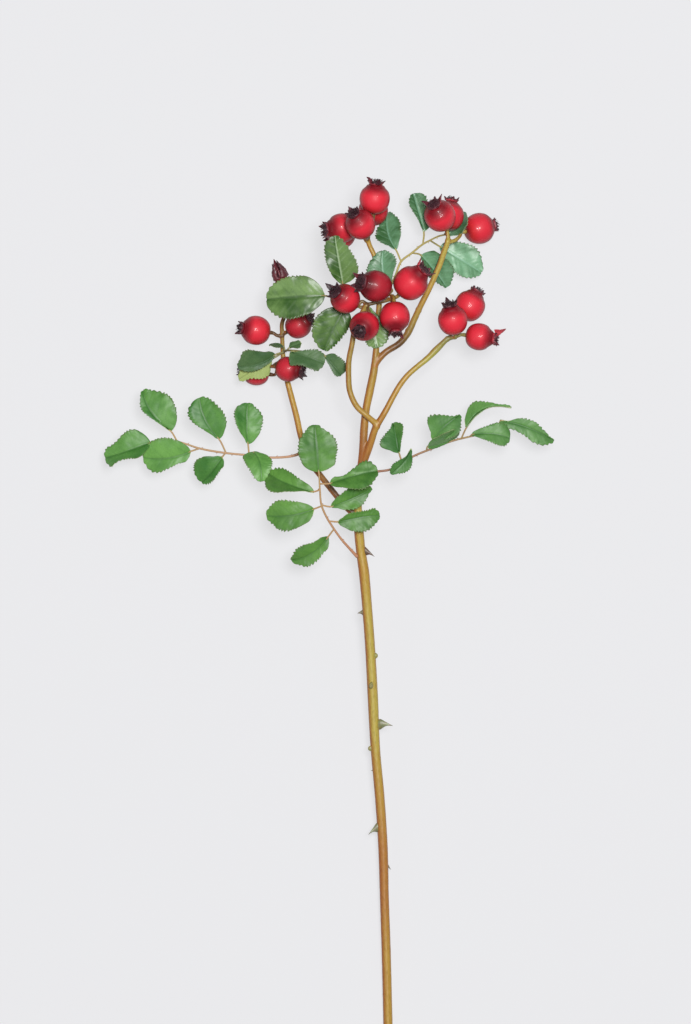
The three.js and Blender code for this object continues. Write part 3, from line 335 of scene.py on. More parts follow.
# Compound leaves. rachis: x, y, z and radius from the stem out. Each leaflet has the root of its own
# stalk, the base and tip of its blade, its full width, its turn about its length, how far its left and
# right halves fold up from the midrib, in degrees, and its arch as a share of its length.
LEAVES = {
    "leaf_left": {
        "rachis": [
            [-24.3, 310.6, 21.8, 0.85], [-28, 309.3, 22.6, 0.7], [-37.5, 308.25, 24.2, 0.6],
            [-50.5, 309.4, 25.1, 0.6], [-62, 310.5, 25.2, 0.6], [-75, 312.75, 24.6, 0.6],
            [-86.5, 316.3, 23.3, 0.55], [-93.5, 317.25, 22.4, 0.55], [-99.5, 316, 21.6, 0.55],
        ],
        "leaflets": [
            {"root": [-86.5, 316.3, 23.3], "base": [-89.5, 321.5, 24.5], "tip": [-103.8, 341.8, 22],
             "width": 17, "turn": 8, "folds": [10, 14], "arch": 0.06},
            {"root": [-62, 310.5, 25.2], "base": [-65.5, 317.5, 27], "tip": [-75.2, 338.2, 28],
             "width": 17.5, "turn": -6, "folds": [12, 10], "arch": 0.05},
            {"root": [-50.5, 309.4, 25.1], "base": [-51, 315, 26.5], "tip": [-51, 335.5, 27.5],
             "width": 15, "turn": 10, "folds": [10, 12], "arch": 0.06},
            {"root": [-98, 316.3, 21.8], "base": [-100, 315.8, 21.5], "tip": [-122.8, 308.2, 17],
             "width": 19, "turn": 18, "folds": [28, 24], "arch": 0.08},
            {"root": [-75.4, 312.8, 24.6], "base": [-79.8, 311.4, 23.4], "tip": [-103.8, 308.4, 19],
             "width": 19, "turn": -6, "folds": [10, 12], "arch": 0.06},
            {"root": [-62.4, 310.5, 25.2], "base": [-64, 308.6, 24], "tip": [-74.4, 296, 18],
             "width": 16.5, "turn": 6, "folds": [26, 12], "arch": 0.1},
            {"root": [-50, 309.4, 25.1], "base": [-48.6, 311.2, 27.4], "tip": [-44.2, 296.4, 36],
             "width": 15.5, "turn": 0, "folds": [8, 10], "arch": 0.16},
        ],
    },
    "leaf_fore": {
        "rachis": [
            [3.6, 258.6, 27.8, 0.85], [0, 262.5, 30.4, 0.7], [-4, 267, 33, 0.65], [-8, 272.5, 35.5, 0.6],
            [-12, 279, 38, 0.6], [-14.25, 284.5, 39.5, 0.6], [-15, 292, 41, 0.55], [-15.4, 300, 42.3, 0.55],
        ],
        "leaflets": [
            {"root": [-15.3, 299, 42.2], "base": [-15.6, 301, 42.4], "tip": [-17.5, 324.4, 43.5],
             "width": 21.5, "turn": 4, "folds": [9, 12], "arch": 0.05},
            {"root": [-15, 292, 41], "base": [-18, 291, 40], "tip": [-40.6, 300, 29.5],
             "width": 15.5, "turn": 24, "folds": [20, 16], "arch": 0.08},
            {"root": [-14, 284, 39.4], "base": [-18, 282.5, 38], "tip": [-41.8, 279.2, 33.5],
             "width": 18, "turn": -4, "folds": [10, 8], "arch": 0.06},
            {"root": [-8, 272.5, 35.5], "base": [-11, 268.5, 34], "tip": [-29.4, 257, 29],
             "width": 13.5, "turn": -12, "folds": [14, 16], "arch": 0.06},
            {"root": [-15, 295, 41.5], "base": [-10, 295.2, 43], "tip": [13.8, 301.4, 44],
             "width": 15.5, "turn": -20, "folds": [12, 16], "arch": 0.08},
            {"root": [-14.2, 284.4, 39.5], "base": [-9.5, 283.5, 38.5], "tip": [11, 292.6, 37.5],
             "width": 14.5, "turn": 14, "folds": [8, 14], "arch": 0.06},
            {"root": [-10.3, 276.4, 37], "base": [-6, 276, 36], "tip": [14.8, 279.4, 34.5],
             "width": 13.5, "turn": 10, "folds": [12, 10], "arch": 0.06},
        ],
    },
    "leaf_right": {
        "rachis": [
            [7.9, 300.3, 30.6, 0.85], [14, 301.25, 31.5, 0.65], [20, 302.2, 31.5, 0.6],
            [26, 305.4, 31, 0.6], [31, 308.5, 30.5, 0.6], [40.5, 312.5, 29.4, 0.6],
            [51, 316.5, 28, 0.6], [60, 318.75, 26.5, 0.55], [70, 321, 25, 0.55], [77, 324.2, 24.2, 0.55],
        ],
        "leaflets": [
            {"root": [26, 305.4, 31], "base": [24.6, 310.5, 31.5], "tip": [21.4, 325.4, 29],
             "width": 15, "turn": 12, "folds": [8, 46], "arch": 0.08},
            {"root": [29.5, 307.6, 30.7], "base": [30.6, 312.4, 33], "tip": [20.6, 300, 36],
             "width": 11, "turn": -34, "folds": [22, 12], "arch": 0.12},
            {"root": [41, 312.7, 29.3], "base": [41.5, 316.4, 31], "tip": [55, 329.4, 33],
             "width": 19, "turn": 6, "folds": [8, 24], "arch": 0.08},
            {"root": [38.2, 311.6, 29.6], "base": [38.6, 313.6, 31.6], "tip": [54.6, 319.6, 28],
             "width": 12.5, "turn": 58, "folds": [8, 14], "arch": 0.08},
            {"root": [55.6, 317.6, 27.3], "base": [58, 323, 28.5], "tip": [80.6, 333.2, 30],
             "width": 13, "turn": -50, "folds": [24, 26], "arch": 0.12},
            {"root": [60, 318.75, 26.5], "base": [60.8, 319.8, 28.4], "tip": [80, 318, 28],
             "width": 14, "turn": -14, "folds": [10, 14], "arch": 0.06},
            {"root": [74, 322.8, 24.5], "base": [75, 327, 24.8], "tip": [102.2, 316.9, 22],
             "width": 13.5, "turn": -8, "folds": [12, 12], "arch": 0.08},
        ],
    },
    "leaf_upper": {
        "rachis": [
            [16.2, 388, 39.5, 0.8], [19, 391.5, 39.5, 0.6], [22.5, 398.5, 38.6, 0.6], [25.5, 406, 36, 0.6],
            [31, 410.5, 32, 0.6], [36.5, 415, 27.5, 0.6], [40, 417, 24, 0.55], [45, 419.5, 17, 0.55],
            [48, 420.25, 12.5, 0.55], [50, 420.4, 9.2, 0.55],
        ],
        "leaflets": [
            {"root": [22, 397.4, 38.8], "base": [19.4, 393.6, 41.6], "tip": [16.4, 411.2, 43.8],
             "width": 16, "turn": 0, "folds": [8, 12], "arch": 0.02},
            {"root": [25.5, 406, 36], "base": [23, 412, 33.5], "tip": [19, 431, 25.5],
             "width": 15, "turn": -6, "folds": [14, 10], "arch": 0.06},
            {"root": [31, 410.5, 32], "base": [35.5, 409.6, 26], "tip": [48.6, 393.6, 16],
             "width": 17, "turn": -8, "folds": [4, 8], "arch": 0.02},
            {"root": [36.5, 415, 27.5], "base": [37, 421.5, 23.5], "tip": [31.6, 440.4, 22],
             "width": 13.5, "turn": 24, "folds": [6, 0], "arch": 0.02},
            {"root": [40, 417, 24], "base": [45.2, 414.2, 13.8], "tip": [66, 401.4, 9.4],
             "width": 19.5, "turn": -4, "folds": [-2, 12], "arch": 0.05},
            {"root": [49.6, 420.4, 9.8], "base": [49.8, 420, 8.2], "tip": [57.2, 432, 5],
             "width": 11.5, "turn": 0, "folds": [-14, 56], "arch": 0.02},
        ],
    },
    "leaf_middle": {
        "rachis": [
            [5.5, 382.7, 43.9, 0.75], [2, 384.5, 42.6, 0.6], [-2.5, 386, 42, 0.6],
            [-7.5, 387.5, 41.8, 0.6], [-12, 388.8, 41.6, 0.55],
        ],
        "leaflets": [
            {"root": [-3, 386.2, 42], "base": [-3.6, 394.5, 44], "tip": [-7.5, 418.4, 50.6],
             "width": 18, "turn": -6, "folds": [12, 14], "arch": 0.02},
            {"root": [-11, 388.5, 41.7], "base": [-12.6, 389, 41.6], "tip": [-41.6, 387.2, 35.5],
             "width": 23.5, "turn": 6, "folds": [8, 10], "arch": 0.06},
            {"root": [-2, 385.8, 42], "base": [-2.6, 382.6, 41.2], "tip": [-12.8, 361.6, 37.5],
             "width": 20.5, "turn": -6, "folds": [2, 10], "arch": 0.02},
            {"root": [3.6, 383.6, 43.2], "base": [9.4, 383.2, 41.3], "tip": [14, 363, 41.6],
             "width": 14.5, "turn": 4, "folds": [2, 2], "arch": 0.01},
        ],
    },
    "leaf_small": {
        "rachis": [
            [-33.4, 361, 18.4, 0.75], [-32.2, 361.8, 23, 0.6], [-30, 361.8, 28, 0.55],
            [-26, 361.5, 31, 0.55], [-19, 360.3, 32.4, 0.55], [-12.6, 359.4, 33, 0.5],
        ],
        "leaflets": [
            {"root": [-32.9, 361.3, 20.6], "base": [-37.5, 359.8, 22], "tip": [-56.2, 353.8, 21],
             "width": 15, "turn": -20, "folds": [22, 16], "arch": 0.06},
            {"root": [-33.2, 361.2, 19.2], "base": [-39.4, 357.4, 19.2], "tip": [-55.4, 347.2, 17.2],
             "width": 10.5, "turn": 196, "folds": [10, 12], "arch": 0.04},
            {"root": [-32.6, 361.6, 21.6], "base": [-33.4, 364.4, 22], "tip": [-40.2, 365.4, 22.6],
             "width": 7, "turn": 66, "folds": [8, 8], "arch": 0.05},
            {"root": [-31.6, 361.8, 24.6], "base": [-30.6, 363.2, 24.6], "tip": [-24.6, 365.4, 27],
             "width": 6.5, "turn": -20, "folds": [8, 8], "arch": 0.05},
            {"root": [-27.6, 361.6, 30], "base": [-29.8, 361.2, 30.4], "tip": [-12.8, 355.4, 33.6],
             "width": 12.5, "turn": -8, "folds": [6, 12], "arch": 0.04},
            {"root": [-14, 359.5, 32.9], "base": [-12.4, 359, 33], "tip": [-4.2, 349.6, 32],
             "width": 12.5, "turn": 6, "folds": [12, 10], "arch": 0.06},
        ],
    },
}


# Knots and swellings of the wood: x, y, z and radius
KNUCKLES = [
    [29.2, 371.2, 34.6, 1.85], [34.2, 381.8, 31.9, 1.68], [13.2, 324, 37, 2.0], [8.3, 417, 41.8, 1.6],
    [48.9, 416.6, 22.7, 1.5], [-34, 369.4, 18, 1.25], [-33.3, 356.2, 16.3, 1.45], [8.1, 383.9, 45.1, 1.6],
    [20.6, 386.8, 46.2, 1.15], [48.6, 367.4, 35.3, 1.4],
]

# Bark tone met at even steps along each piece of wood, from its foot up; each is a colour of SprigColours
BARK = {
    "main": ["gold", "gold", "gold", "ochre", "ochre", "gold", "straw", "straw", "straw", "gold", "straw",
             "russet", "gold", "olive", "olive", "gold"],
    "left": ["umber", "umber", "ochre", "gold", "gold", "olive", "umber"],
    "forked": ["russet", "ochre", "gold"],
    "middle": ["gold", "olive", "olive"],
    "right": ["ochre", "umber", "olive", "gold", "straw", "straw"],
    "outer": ["ochre", "gold", "gold", "moss", "sage"],
    "top": ["olive", "umber"],
    "stalk_left": ["umber"],
    "stalk_middle": ["umber", "olive"],
    "stalk_right": ["straw", "olive"],
    "stalk_outer": ["sage"],
}

# How ruddy and how blunt each prickle is, from 0 to 1: the blunt ones are old scars and resting buds
PRICKLE_LOOKS = [
    (0.85, 0.0), (0.5, 0.0), (0.0, 1.0), (0.0, 0.9), (0.0, 0.0), (0.1, 0.9), (0.3, 0.0), (0.0, 0.0),
    (0.2, 0.0), (0.3, 0.0),
]

# Look of each hip: how wine-dark its skin is, and how red its sepals still are, both from 0 to 1
HIP_LOOKS = {
    "top_1": (0.0, 0.35), "top_2": (0.12, 0.1), "top_3": (0.05, 0.1), "top_4": (0.3, 0.3),
    "top_5": (0.3, 0.1), "right_1": (0.0, 0.5), "right_2": (0.1, 0.4), "right_3": (0.1, 0.3),
    "middle_1": (0.05, 0.0), "middle_2": (0.72, 0.25), "middle_3": (0.05, 0.5), "middle_4": (0.05, 0.0),
    "middle_5": (0.05, 0.35), "outer_1": (0.0, 0.1), "outer_2": (0.05, 0.25), "outer_3": (0.1, 0.65),
    "left_1": (0.05, 0.2), "left_2": (0.6, 0.0), "left_3": (0.45, 0.0), "left_4": (0.25, 0.1),
    "left_5": (0.1, 0.28),
}

# Turn of a crown about its hip, in degrees, that brings its longest sepal to where it grew
CROWN_TURNS = {"outer_3": 180}
# Sepals longer than this, in mm, roll over by this angle, in radians, and show their flat side
LONG_SEPAL = 4.8
SEPAL_ROLL = 1.1
# A crown whose shortest sepal is longer than this, in mm, is drawn together like a tent. Its sepals grow by
# this factor, and it has this many long tatters.
CLOSED_SEPAL = 4.5
CLOSED_GAIN = 1.2
CLOSED_TATTERS = 10

# Look of each leaf: upper face, its lighter cast, which the blades' painted light also turns to, its veins,
# under face, its stalks, and gloss from 0 to 1
LEAF_LOOKS = {
    "leaf_left": ["#37702A", "#70A650", "#34602A", "#AFC080", "#B98A6E", 0.3],
    "leaf_fore": ["#386A24", "#6CA048", "#305C28", "#AFC080", "#B98466", 0.3],
    "leaf_right": ["#376A2E", "#689A50", "#34602E", "#B9C896", "#93654F", 0.2],
    "leaf_upper": ["#315E30", "#7AAC84", "#7FAE92", "#A8C6A8", "#B5A462", 0.8],
    "leaf_middle": ["#34581F", "#7EA05C", "#2A4C20", "#AFC080", "#8A7448", 0.9],
    "leaf_small": ["#34582F", "#607F50", "#34562E", "#98A864", "#6E6A48", 0.15],
}

# How much of its leaf's lighter cast each leaflet has, in the order of LEAVES; one below 0 is darker
LEAFLET_CASTS = {
    "leaf_left": [0.08, 0.1, 0.1, 0.15, 0.4, 0.05, 0.3],
    "leaf_fore": [0.2, 0.1, 0.3, 0.2, 0.05, 0.05, 0.05],
    "leaf_right": [0.0, -0.08, 0.2, 0.3, 0.3, 0.35, 0.3],
    "leaf_upper": [-0.05, -0.05, 0.1, -0.05, 0.65, 0.0],
    "leaf_middle": [0.15, 0.05, -0.05, 0.2],
    "leaf_small": [0.1, 0.1, 0.0, 0.1, 0.15, 0.1],
}

# Leaflets whose midrib and veins carry a painted highlight, pale instead of dark, by their place in LEAVES
PAINTED_HIGHLIGHT_MIDRIBS = {"leaf_middle": [0, 3]}

# How each leaflet grew: half widths on its left and on its right as seen from above, looking to the tip, in
# mm, at four places along its chord, and how far its midrib bows to the left in the middle. They were read
# from the photograph.
LEAFLET_PLACES = [0.12, 0.37, 0.63, 0.88]
LEAFLET_SHAPES = {
    "leaf_left": [
        ([1.5, 4.3, 6.4, 3.6], [5.8, 9.3, 9.1, 4.2], 3.0), ([2.1, 6.0, 9.1, 7.6], [4.6, 8.1, 7.4, 4.6], 2.0),
        ([1.8, 5.4, 7.4, 6.3], [3.8, 6.9, 7.6, 4.2], 1.0), ([4.0, 5.6, 4.5, 6.0], [6.8, 9.0, 6.2, 5.0], 1.0),
        ([5.0, 6.4, 8.6, 7.2], [4.8, 8.4, 8.6, 6.0], 2.0), ([3.6, 4.1, 4.4, 3.4], [3.5, 8.2, 8.9, 6.2], 1.0),
        ([3.2, 7.3, 8.0, 4.6], [5.3, 5.6, 4.5, 3.4], 1.8),
    ],
    "leaf_fore": [
        ([6.7, 9.5, 9.3, 5.3], [8.3, 10.2, 10.2, 4.6], 0), ([1.5, 5.6, 8.6, 6.0], [1.9, 3.1, 4.7, 4.3], 2.0),
        ([5.9, 8.3, 9.4, 5.1], [3.1, 5.7, 7.1, 4.6], 1.5), ([4.7, 6.6, 7.8, 4.6], [1.9, 2.4, 3.9, 2.0], 2.3),
        ([2.4, 2.2, 5.4, 6.2], [2.9, 5.8, 7.6, 4.5], 0), ([2.6, 5.0, 5.5, 3.5], [1.8, 5.7, 5.7, 1.5], 0),
        ([2.1, 4.0, 3.9, 4.4], [3.2, 6.4, 6.8, 3.7], 0.8),
    ],
    "leaf_right": [
        ([4.5, 9.0, 6.0, 1.5], [1.1, 2.6, 4.2, 4.6], 0), ([1.5, 4.7, 4.8, 1.8], [0.6, 1.2, 2.7, 2.2], 0),
        ([4.1, 10.9, 7.6, 1.8], [2.0, 4.9, 6.5, 3.0], 1.5), ([3.1, 4.0, 4.7, 3.0], [1.6, 1.1, 0.6, 0.6], 0),
        ([6.2, 8.6, 5.2, 2.1], [-0.9, -2.4, -1.9, -0.3], 2.8),
        ([2.5, 5.1, 7.1, 6.6], [1.1, 2.7, 4.3, 4.4], 1.0),
        ([0.3, 5.1, 4.8, 1.2], [3.5, 2.9, 4.9, 4.0], 1.0),
    ],
    "leaf_upper": [
        ([6.0, 10.5, 9.2, 5.3], [2.0, 3.8, 6.0, 4.4], 1.5), ([3.3, 8.9, 7.0, 4.0], [2.1, 4.7, 5.2, 2.9], 2.0),
        ([6.6, 8.5, 9.5, 6.2], [1.7, 4.0, 3.5, 1.6], 0.5), ([0.9, 1.8, 3.4, 3.0], [4.5, 6.0, 6.2, 5.8], 0),
        ([6.2, 8.4, 9.4, 5.0], [3.0, 7.0, 7.6, 5.3], 0), ([2.0, 3.0, 3.0, 2.0], [4.6, 5.6, 4.6, 2.4], 0),
    ],
    "leaf_middle": [
        ([3.4, 6.0, 6.9, 5.6], [6.7, 9.2, 7.3, 4.4], 0), ([6.0, 10.3, 11.1, 7.9], [7.2, 10.7, 10.3, 7.3], 0),
        ([5.0, 6.3, 5.3, 3.2], [6.9, 11.0, 11.0, 7.1], -0.5), ([2.0, 5.5, 7.6, 5.5], [2.0, 5.0, 6.0, 5.2], 0),
    ],
    "leaf_small": [
        ([2.4, 4.1, 4.7, 3.2], [2.6, 4.6, 7.1, 3.2], 1.5), ([2.9, 6.3, 3.9, 2.2], [1.0, 3.0, 4.5, 3.8], 0),
        ([1.8, 2.2, 2.0, 0.8], [0.4, 0.6, 0.7, 0.5], 0), ([2.2, 2.4, 2.1, 2.0], [0.4, 1.1, 2.1, 2.2], 0),
        ([0.4, 3.3, 5.3, 4.5], [6.5, 5.7, 5.4, 5.6], 0), ([4.0, 5.4, 5.8, 5.2], [1.0, 1.8, 2.6, 2.8], 0),
    ],
}


# Places and ways

def placed(points):
    """Table millimetres to frame metres."""
    return (np.asarray(points, float) - MIDDLE) * MM


def unit(vector):
    """A direction at length 1."""
    vector = np.asarray(vector, float)
    return vector / np.linalg.norm(vector)


def smooth_way(stations, step):
    """Points about step apart on a smooth curve through the stations."""
    knots = np.array(stations, float)
    gaps = np.linalg.norm(np.diff(knots[:, :3], axis=0), axis=1)
    times = np.concatenate([[0.0], np.cumsum(gaps)])
    slopes = np.gradient(knots, times, axis=0)
    way = []
    for i, gap in enumerate(gaps):
        count = max(2, math.ceil(gap / step))
        s = (np.arange(count) / count)[:, None]
        start = knots[i] * (2 * s**3 - 3 * s**2 + 1) + slopes[i] * gap * (s**3 - 2 * s**2 + s)
        way.append(start + knots[i + 1] * (3 * s**2 - 2 * s**3) + slopes[i + 1] * gap * (s**3 - s**2))
    way.append(knots[-1:])
    return np.concatenate(way)


def ring_frames(centres):
    """Direction along the way at each point, and two directions across it that don't twist."""
    along = np.gradient(centres, axis=0)
    along /= np.linalg.norm(along, axis=1)[:, None]
    normal = np.array([0.0, 0.0, 1.0]) if abs(along[0][2]) < 0.9 else np.array([1.0, 0.0, 0.0])
    normals = []
    for direction in along:
        normal = unit(normal - direction * normal.dot(direction))
        normals.append(normal)
    normals = np.array(normals)
    return along, normals, np.cross(along, normals)


# Meshes: points, faces and named values at each point

def grid_faces(rows, columns, closed):
    """Quads between rows of points; closed joins the last column to the first."""
    faces = []
    for i in range(rows - 1):
        for j in range(columns if closed else columns - 1):
            k = (j + 1) % columns
            faces.append((i * columns + j, i * columns + k, (i + 1) * columns + k, (i + 1) * columns + j))
    return faces


def rings_mesh(rings, values):
    """A closed tube from rings of points, with a middle point in each end. Values are given ring by ring."""
    rows, columns = rings.shape[:2]
    ends = [rings[0].mean(axis=0), rings[-1].mean(axis=0)]
    points = np.concatenate([rings.reshape(-1, 3), ends])
    faces = grid_faces(rows, columns, True)
    first, last = rows * columns, rows * columns + 1
    for j in range(columns):
        k = (j + 1) % columns
        faces.append((first, k, j))
        faces.append((last, (rows - 1) * columns + j, (rows - 1) * columns + k))
    spread = {}
    for name, by_ring in values.items():
        by_ring = np.asarray(by_ring, float)
        spread[name] = np.concatenate([np.repeat(by_ring, columns, axis=0), by_ring[:1], by_ring[-1:]])
    return points, faces, spread


def tube_mesh(way, sides, values=None, oval=1.0):
    """A closed tube along a way of x, y, z and radius."""
    centres, radii = way[:, :3], way[:, 3]
    _, normals, across = ring_frames(centres)
    angles = 2 * math.pi * (np.arange(sides) + 0.5) / sides
    rings = (
        centres[:, None]
        + normals[:, None] * (radii[:, None] * np.cos(angles) * oval)[:, :, None]
        + across[:, None] * (radii[:, None] * np.sin(angles))[:, :, None]
    )
    return rings_mesh(rings, values or {})


def joined(meshes):
    """Several meshes as one."""
    points, faces, values, base = [], [], {}, 0
    for some_points, some_faces, some_values in meshes:
        points.append(some_points)
        faces.extend(tuple(corner + base for corner in face) for face in some_faces)
        for name, value in some_values.items():
            values.setdefault(name, []).append(value)
        base += len(some_points)
    return np.concatenate(points), faces, {name: np.concatenate(value) for name, value in values.items()}


def set_values(mesh, values):
    """Stores named values on a mesh's points: one number each, or three for a colour or a place."""
    for name, value in values.items():
        value = np.asarray(value, np.float32)
        if value.ndim == 1:
            mesh.attributes.new(name, "FLOAT", "POINT").data.foreach_set("value", value)
        else:
            mesh.attributes.new(name, "FLOAT_VECTOR", "POINT").data.foreach_set("vector", value.ravel())


def make_piece(name, mesh_parts, material, nodes):
    """A piece of the sprig that stands for its CAD nodes."""
    points, faces, values = mesh_parts
    mesh = bpy.data.meshes.new(name)
    mesh.from_pydata(placed(points).tolist(), [], faces)
    mesh.validate()
    set_values(mesh, values)
    dress(name, mesh, material, nodes)


def dress(name, mesh, material, nodes):
    """Puts a mesh in the scene with its material, its body and the nodes that it stands for."""
    if not mesh.polygons:
        raise RuntimeError(f"{name} has no faces")
    mesh.shade_smooth()
    mesh.materials.clear()
    mesh.materials.append(material)
    piece = bpy.data.objects.new(name, mesh)
    bpy.context.scene.collection.objects.link(piece)
    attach(piece, "root")
    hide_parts(*nodes)


# Colours and materials

def linear(code):
    """An sRGB hex colour as linear red, green, blue and alpha."""
    parts = [int(code[i : i + 2], 16) / 255 for i in (1, 3, 5)]
    return tuple(c / 12.92 if c <= 0.04045 else ((c + 0.055) / 1.055) ** 2.4 for c in parts) + (1.0,)


def colour_way(codes, count):
    """Linear colours spread evenly over count points."""
    stops = np.array([linear(code)[:3] for code in codes])
    at = np.linspace(0, len(codes) - 1, count)
    return np.stack([np.interp(at, np.arange(len(codes)), stops[:, k]) for k in range(3)], axis=1)


def add(tree, kind, settings=None, links=None):
    """Adds a node: its settings, its stops if it is a ramp, and each input's value or the output it reads."""
    made = tree.nodes.new(kind)
    for name, value in (settings or {}).items():
        if name == "stops":
            ramp = made.color_ramp.elements
            while len(ramp) < len(value):
                ramp.new(0.5)
            for stop, (place, colour) in zip(ramp, value):
                stop.position = place
                stop.color = colour
        else:
            setattr(made, name, value)
    for name, value in (links or {}).items():
        if isinstance(value, bpy.types.NodeSocket):
            tree.links.new(value, made.inputs[name])
        else:
            made.inputs[name].default_value = value
    return made


def new_material(name):
    """An empty node material and its tree."""
    material = bpy.data.materials.new(name)
    material.use_nodes = True
    material.node_tree.nodes.clear()
    return material, material.node_tree


def place_in(tree):
    """Place on the sprig in metres, so that a pattern's scale is its count of features in a metre."""
    return add(tree, "ShaderNodeTexCoord").outputs["Object"]


def finish_material(tree, shader):
    """Puts the shader on the material's surface."""
    add(tree, "ShaderNodeOutputMaterial", None, {"Surface": shader.outputs[0]})


def rose_bark(colours):
    """Rose bark, one to three years old, grown and dried: thin, smooth and slightly waxy, with streaks half a
    millimetre wide along the wood, ruddy patches of 3 mm and corky flecks 1.6 mm apart. It is golden on top,
    and painted shade turns it reddish brown, most on its left side, less underneath and least on its right."""
    material, tree = new_material("rose_bark")
    grown = add(tree, "ShaderNodeAttribute", {"attribute_name": "bark"})
    grain = add(tree, "ShaderNodeAttribute", {"attribute_name": "grain"})
    flank = add(tree, "ShaderNodeAttribute", {"attribute_name": "flank"})
    streaks = add(tree, "ShaderNodeTexNoise", None,
                  {"Vector": grain.outputs["Vector"], "Scale": 2.2, "Detail": 4.0})
    patches = add(tree, "ShaderNodeTexNoise", None,
                  {"Vector": grain.outputs["Vector"], "Scale": 0.35, "Detail": 3.0})
    flecks = add(tree, "ShaderNodeTexVoronoi", None, {"Vector": grain.outputs["Vector"], "Scale": 0.62})
    # Ruddy share: real ruddy patches plus painted shade on the left side and underside of the wood
    uneven = add(tree, "ShaderNodeMath", {"operation": "MULTIPLY_ADD"},
                 {0: patches.outputs["Fac"], 1: 0.9, 2: flank.outputs["Fac"]})
    ruddy = add(tree, "ShaderNodeMapRange", None,
                {"Value": uneven.outputs["Value"], "From Min": 0.5, "From Max": 1.3, "To Max": 0.92})
    ruddy_and_shaded = add(tree, "ShaderNodeMix", {"data_type": "RGBA"},
                 {0: ruddy.outputs["Result"], 6: grown.outputs["Color"], 7: linear(colours.bark_ruddy_and_shade)})
    dark = add(tree, "ShaderNodeMapRange", None,
               {"Value": streaks.outputs["Fac"], "From Min": 0.5, "From Max": 0.8, "To Max": 0.45})
    streaked = add(tree, "ShaderNodeMix", {"data_type": "RGBA", "blend_type": "MULTIPLY"},
                   {0: dark.outputs["Result"], 6: ruddy_and_shaded.outputs[2], 7: linear(colours.bark_streak)})
    corky = add(tree, "ShaderNodeMapRange", None,
                {"Value": flecks.outputs["Distance"], "From Min": 0.1, "From Max": 0.05, "To Max": 0.4})
    flecked = add(tree, "ShaderNodeMix", {"data_type": "RGBA"},
                  {0: corky.outputs["Result"], 6: streaked.outputs[2], 7: linear(colours.bark_fleck)})
    bump = add(tree, "ShaderNodeBump", None,
               {"Strength": 0.3, "Distance": 0.1 * MM, "Height": streaks.outputs["Fac"]})
    shader = add(tree, "ShaderNodeBsdfPrincipled", None,
                 {"Base Color": flecked.outputs[2], "Roughness": 0.42, "IOR": 1.45,
                  "Normal": bump.outputs["Normal"]})
    finish_material(tree, shader)
    return material


def prickle_horn(colours):
    """Prickles: dead, horny outgrowths of the bark, smooth and hard, golden at the root, grey-green above it
    and dark at the very tip, mottled every millimetre."""
    material, tree = new_material("prickle_horn")
    place = place_in(tree)
    reach = add(tree, "ShaderNodeAttribute", {"attribute_name": "reach"})
    ruddy = add(tree, "ShaderNodeAttribute", {"attribute_name": "ruddy"})
    blush = add(tree, "ShaderNodeTexNoise", None, {"Vector": place, "Scale": 900.0, "Detail": 2.0})
    grown = add(tree, "ShaderNodeValToRGB", {"stops": [
        (0.0, linear(colours.prickle_root)), (0.38, linear(colours.prickle_green)),
        (0.75, linear(colours.prickle_pale)), (1.0, linear(colours.prickle_tip))]},
        {"Fac": reach.outputs["Fac"]})
    brown = add(tree, "ShaderNodeMix", {"data_type": "RGBA"},
                {0: ruddy.outputs["Fac"], 6: grown.outputs["Color"], 7: linear(colours.prickle_brown)})
    bud = add(tree, "ShaderNodeAttribute", {"attribute_name": "bud"})
    corked = add(tree, "ShaderNodeMix", {"data_type": "RGBA"},
                 {0: bud.outputs["Fac"], 6: brown.outputs[2], 7: linear(colours.prickle_bud)})
    mottled = add(tree, "ShaderNodeMix", {"data_type": "RGBA", "blend_type": "SOFT_LIGHT"},
                  {0: 0.5, 6: corked.outputs[2], 7: blush.outputs["Color"]})
    shader = add(tree, "ShaderNodeBsdfPrincipled", None,
                 {"Base Color": mottled.outputs[2], "Roughness": 0.42, "IOR": 1.5})
    finish_material(tree, shader)
    return material


def cut_wood():
    """Rose wood, freshly snipped across: dry and pale, with a white pith, a green layer under the thin dark
    bark, and a grain of 0.4 mm."""
    material, tree = new_material("cut_wood")
    place = place_in(tree)
    out = add(tree, "ShaderNodeAttribute", {"attribute_name": "out"})
    rays = add(tree, "ShaderNodeTexNoise", None, {"Vector": place, "Scale": 2600.0, "Detail": 3.0})
    wobble = add(tree, "ShaderNodeMath", {"operation": "MULTIPLY_ADD"},
                 {0: rays.outputs["Fac"], 1: 0.12, 2: out.outputs["Fac"]})
    rings = add(tree, "ShaderNodeValToRGB", {"stops": [
        (0.0, linear("#E9DFC4")), (0.3, linear("#E2D4AE")), (0.36, linear("#B79E68")),
        (0.6, linear("#CDB884")), (0.93, linear("#BFA468")), (0.985, linear("#6E8A44")),
        (1.0, linear("#6A4C28"))]},
        {"Fac": wobble.outputs["Value"]})
    bump = add(tree, "ShaderNodeBump", None,
               {"Strength": 0.5, "Distance": 0.1 * MM, "Height": rays.outputs["Fac"]})
    shader = add(tree, "ShaderNodeBsdfPrincipled", None,
                 {"Base Color": rings.outputs["Color"], "Roughness": 0.8, "Normal": bump.outputs["Normal"]})
    finish_material(tree, shader)
    return material


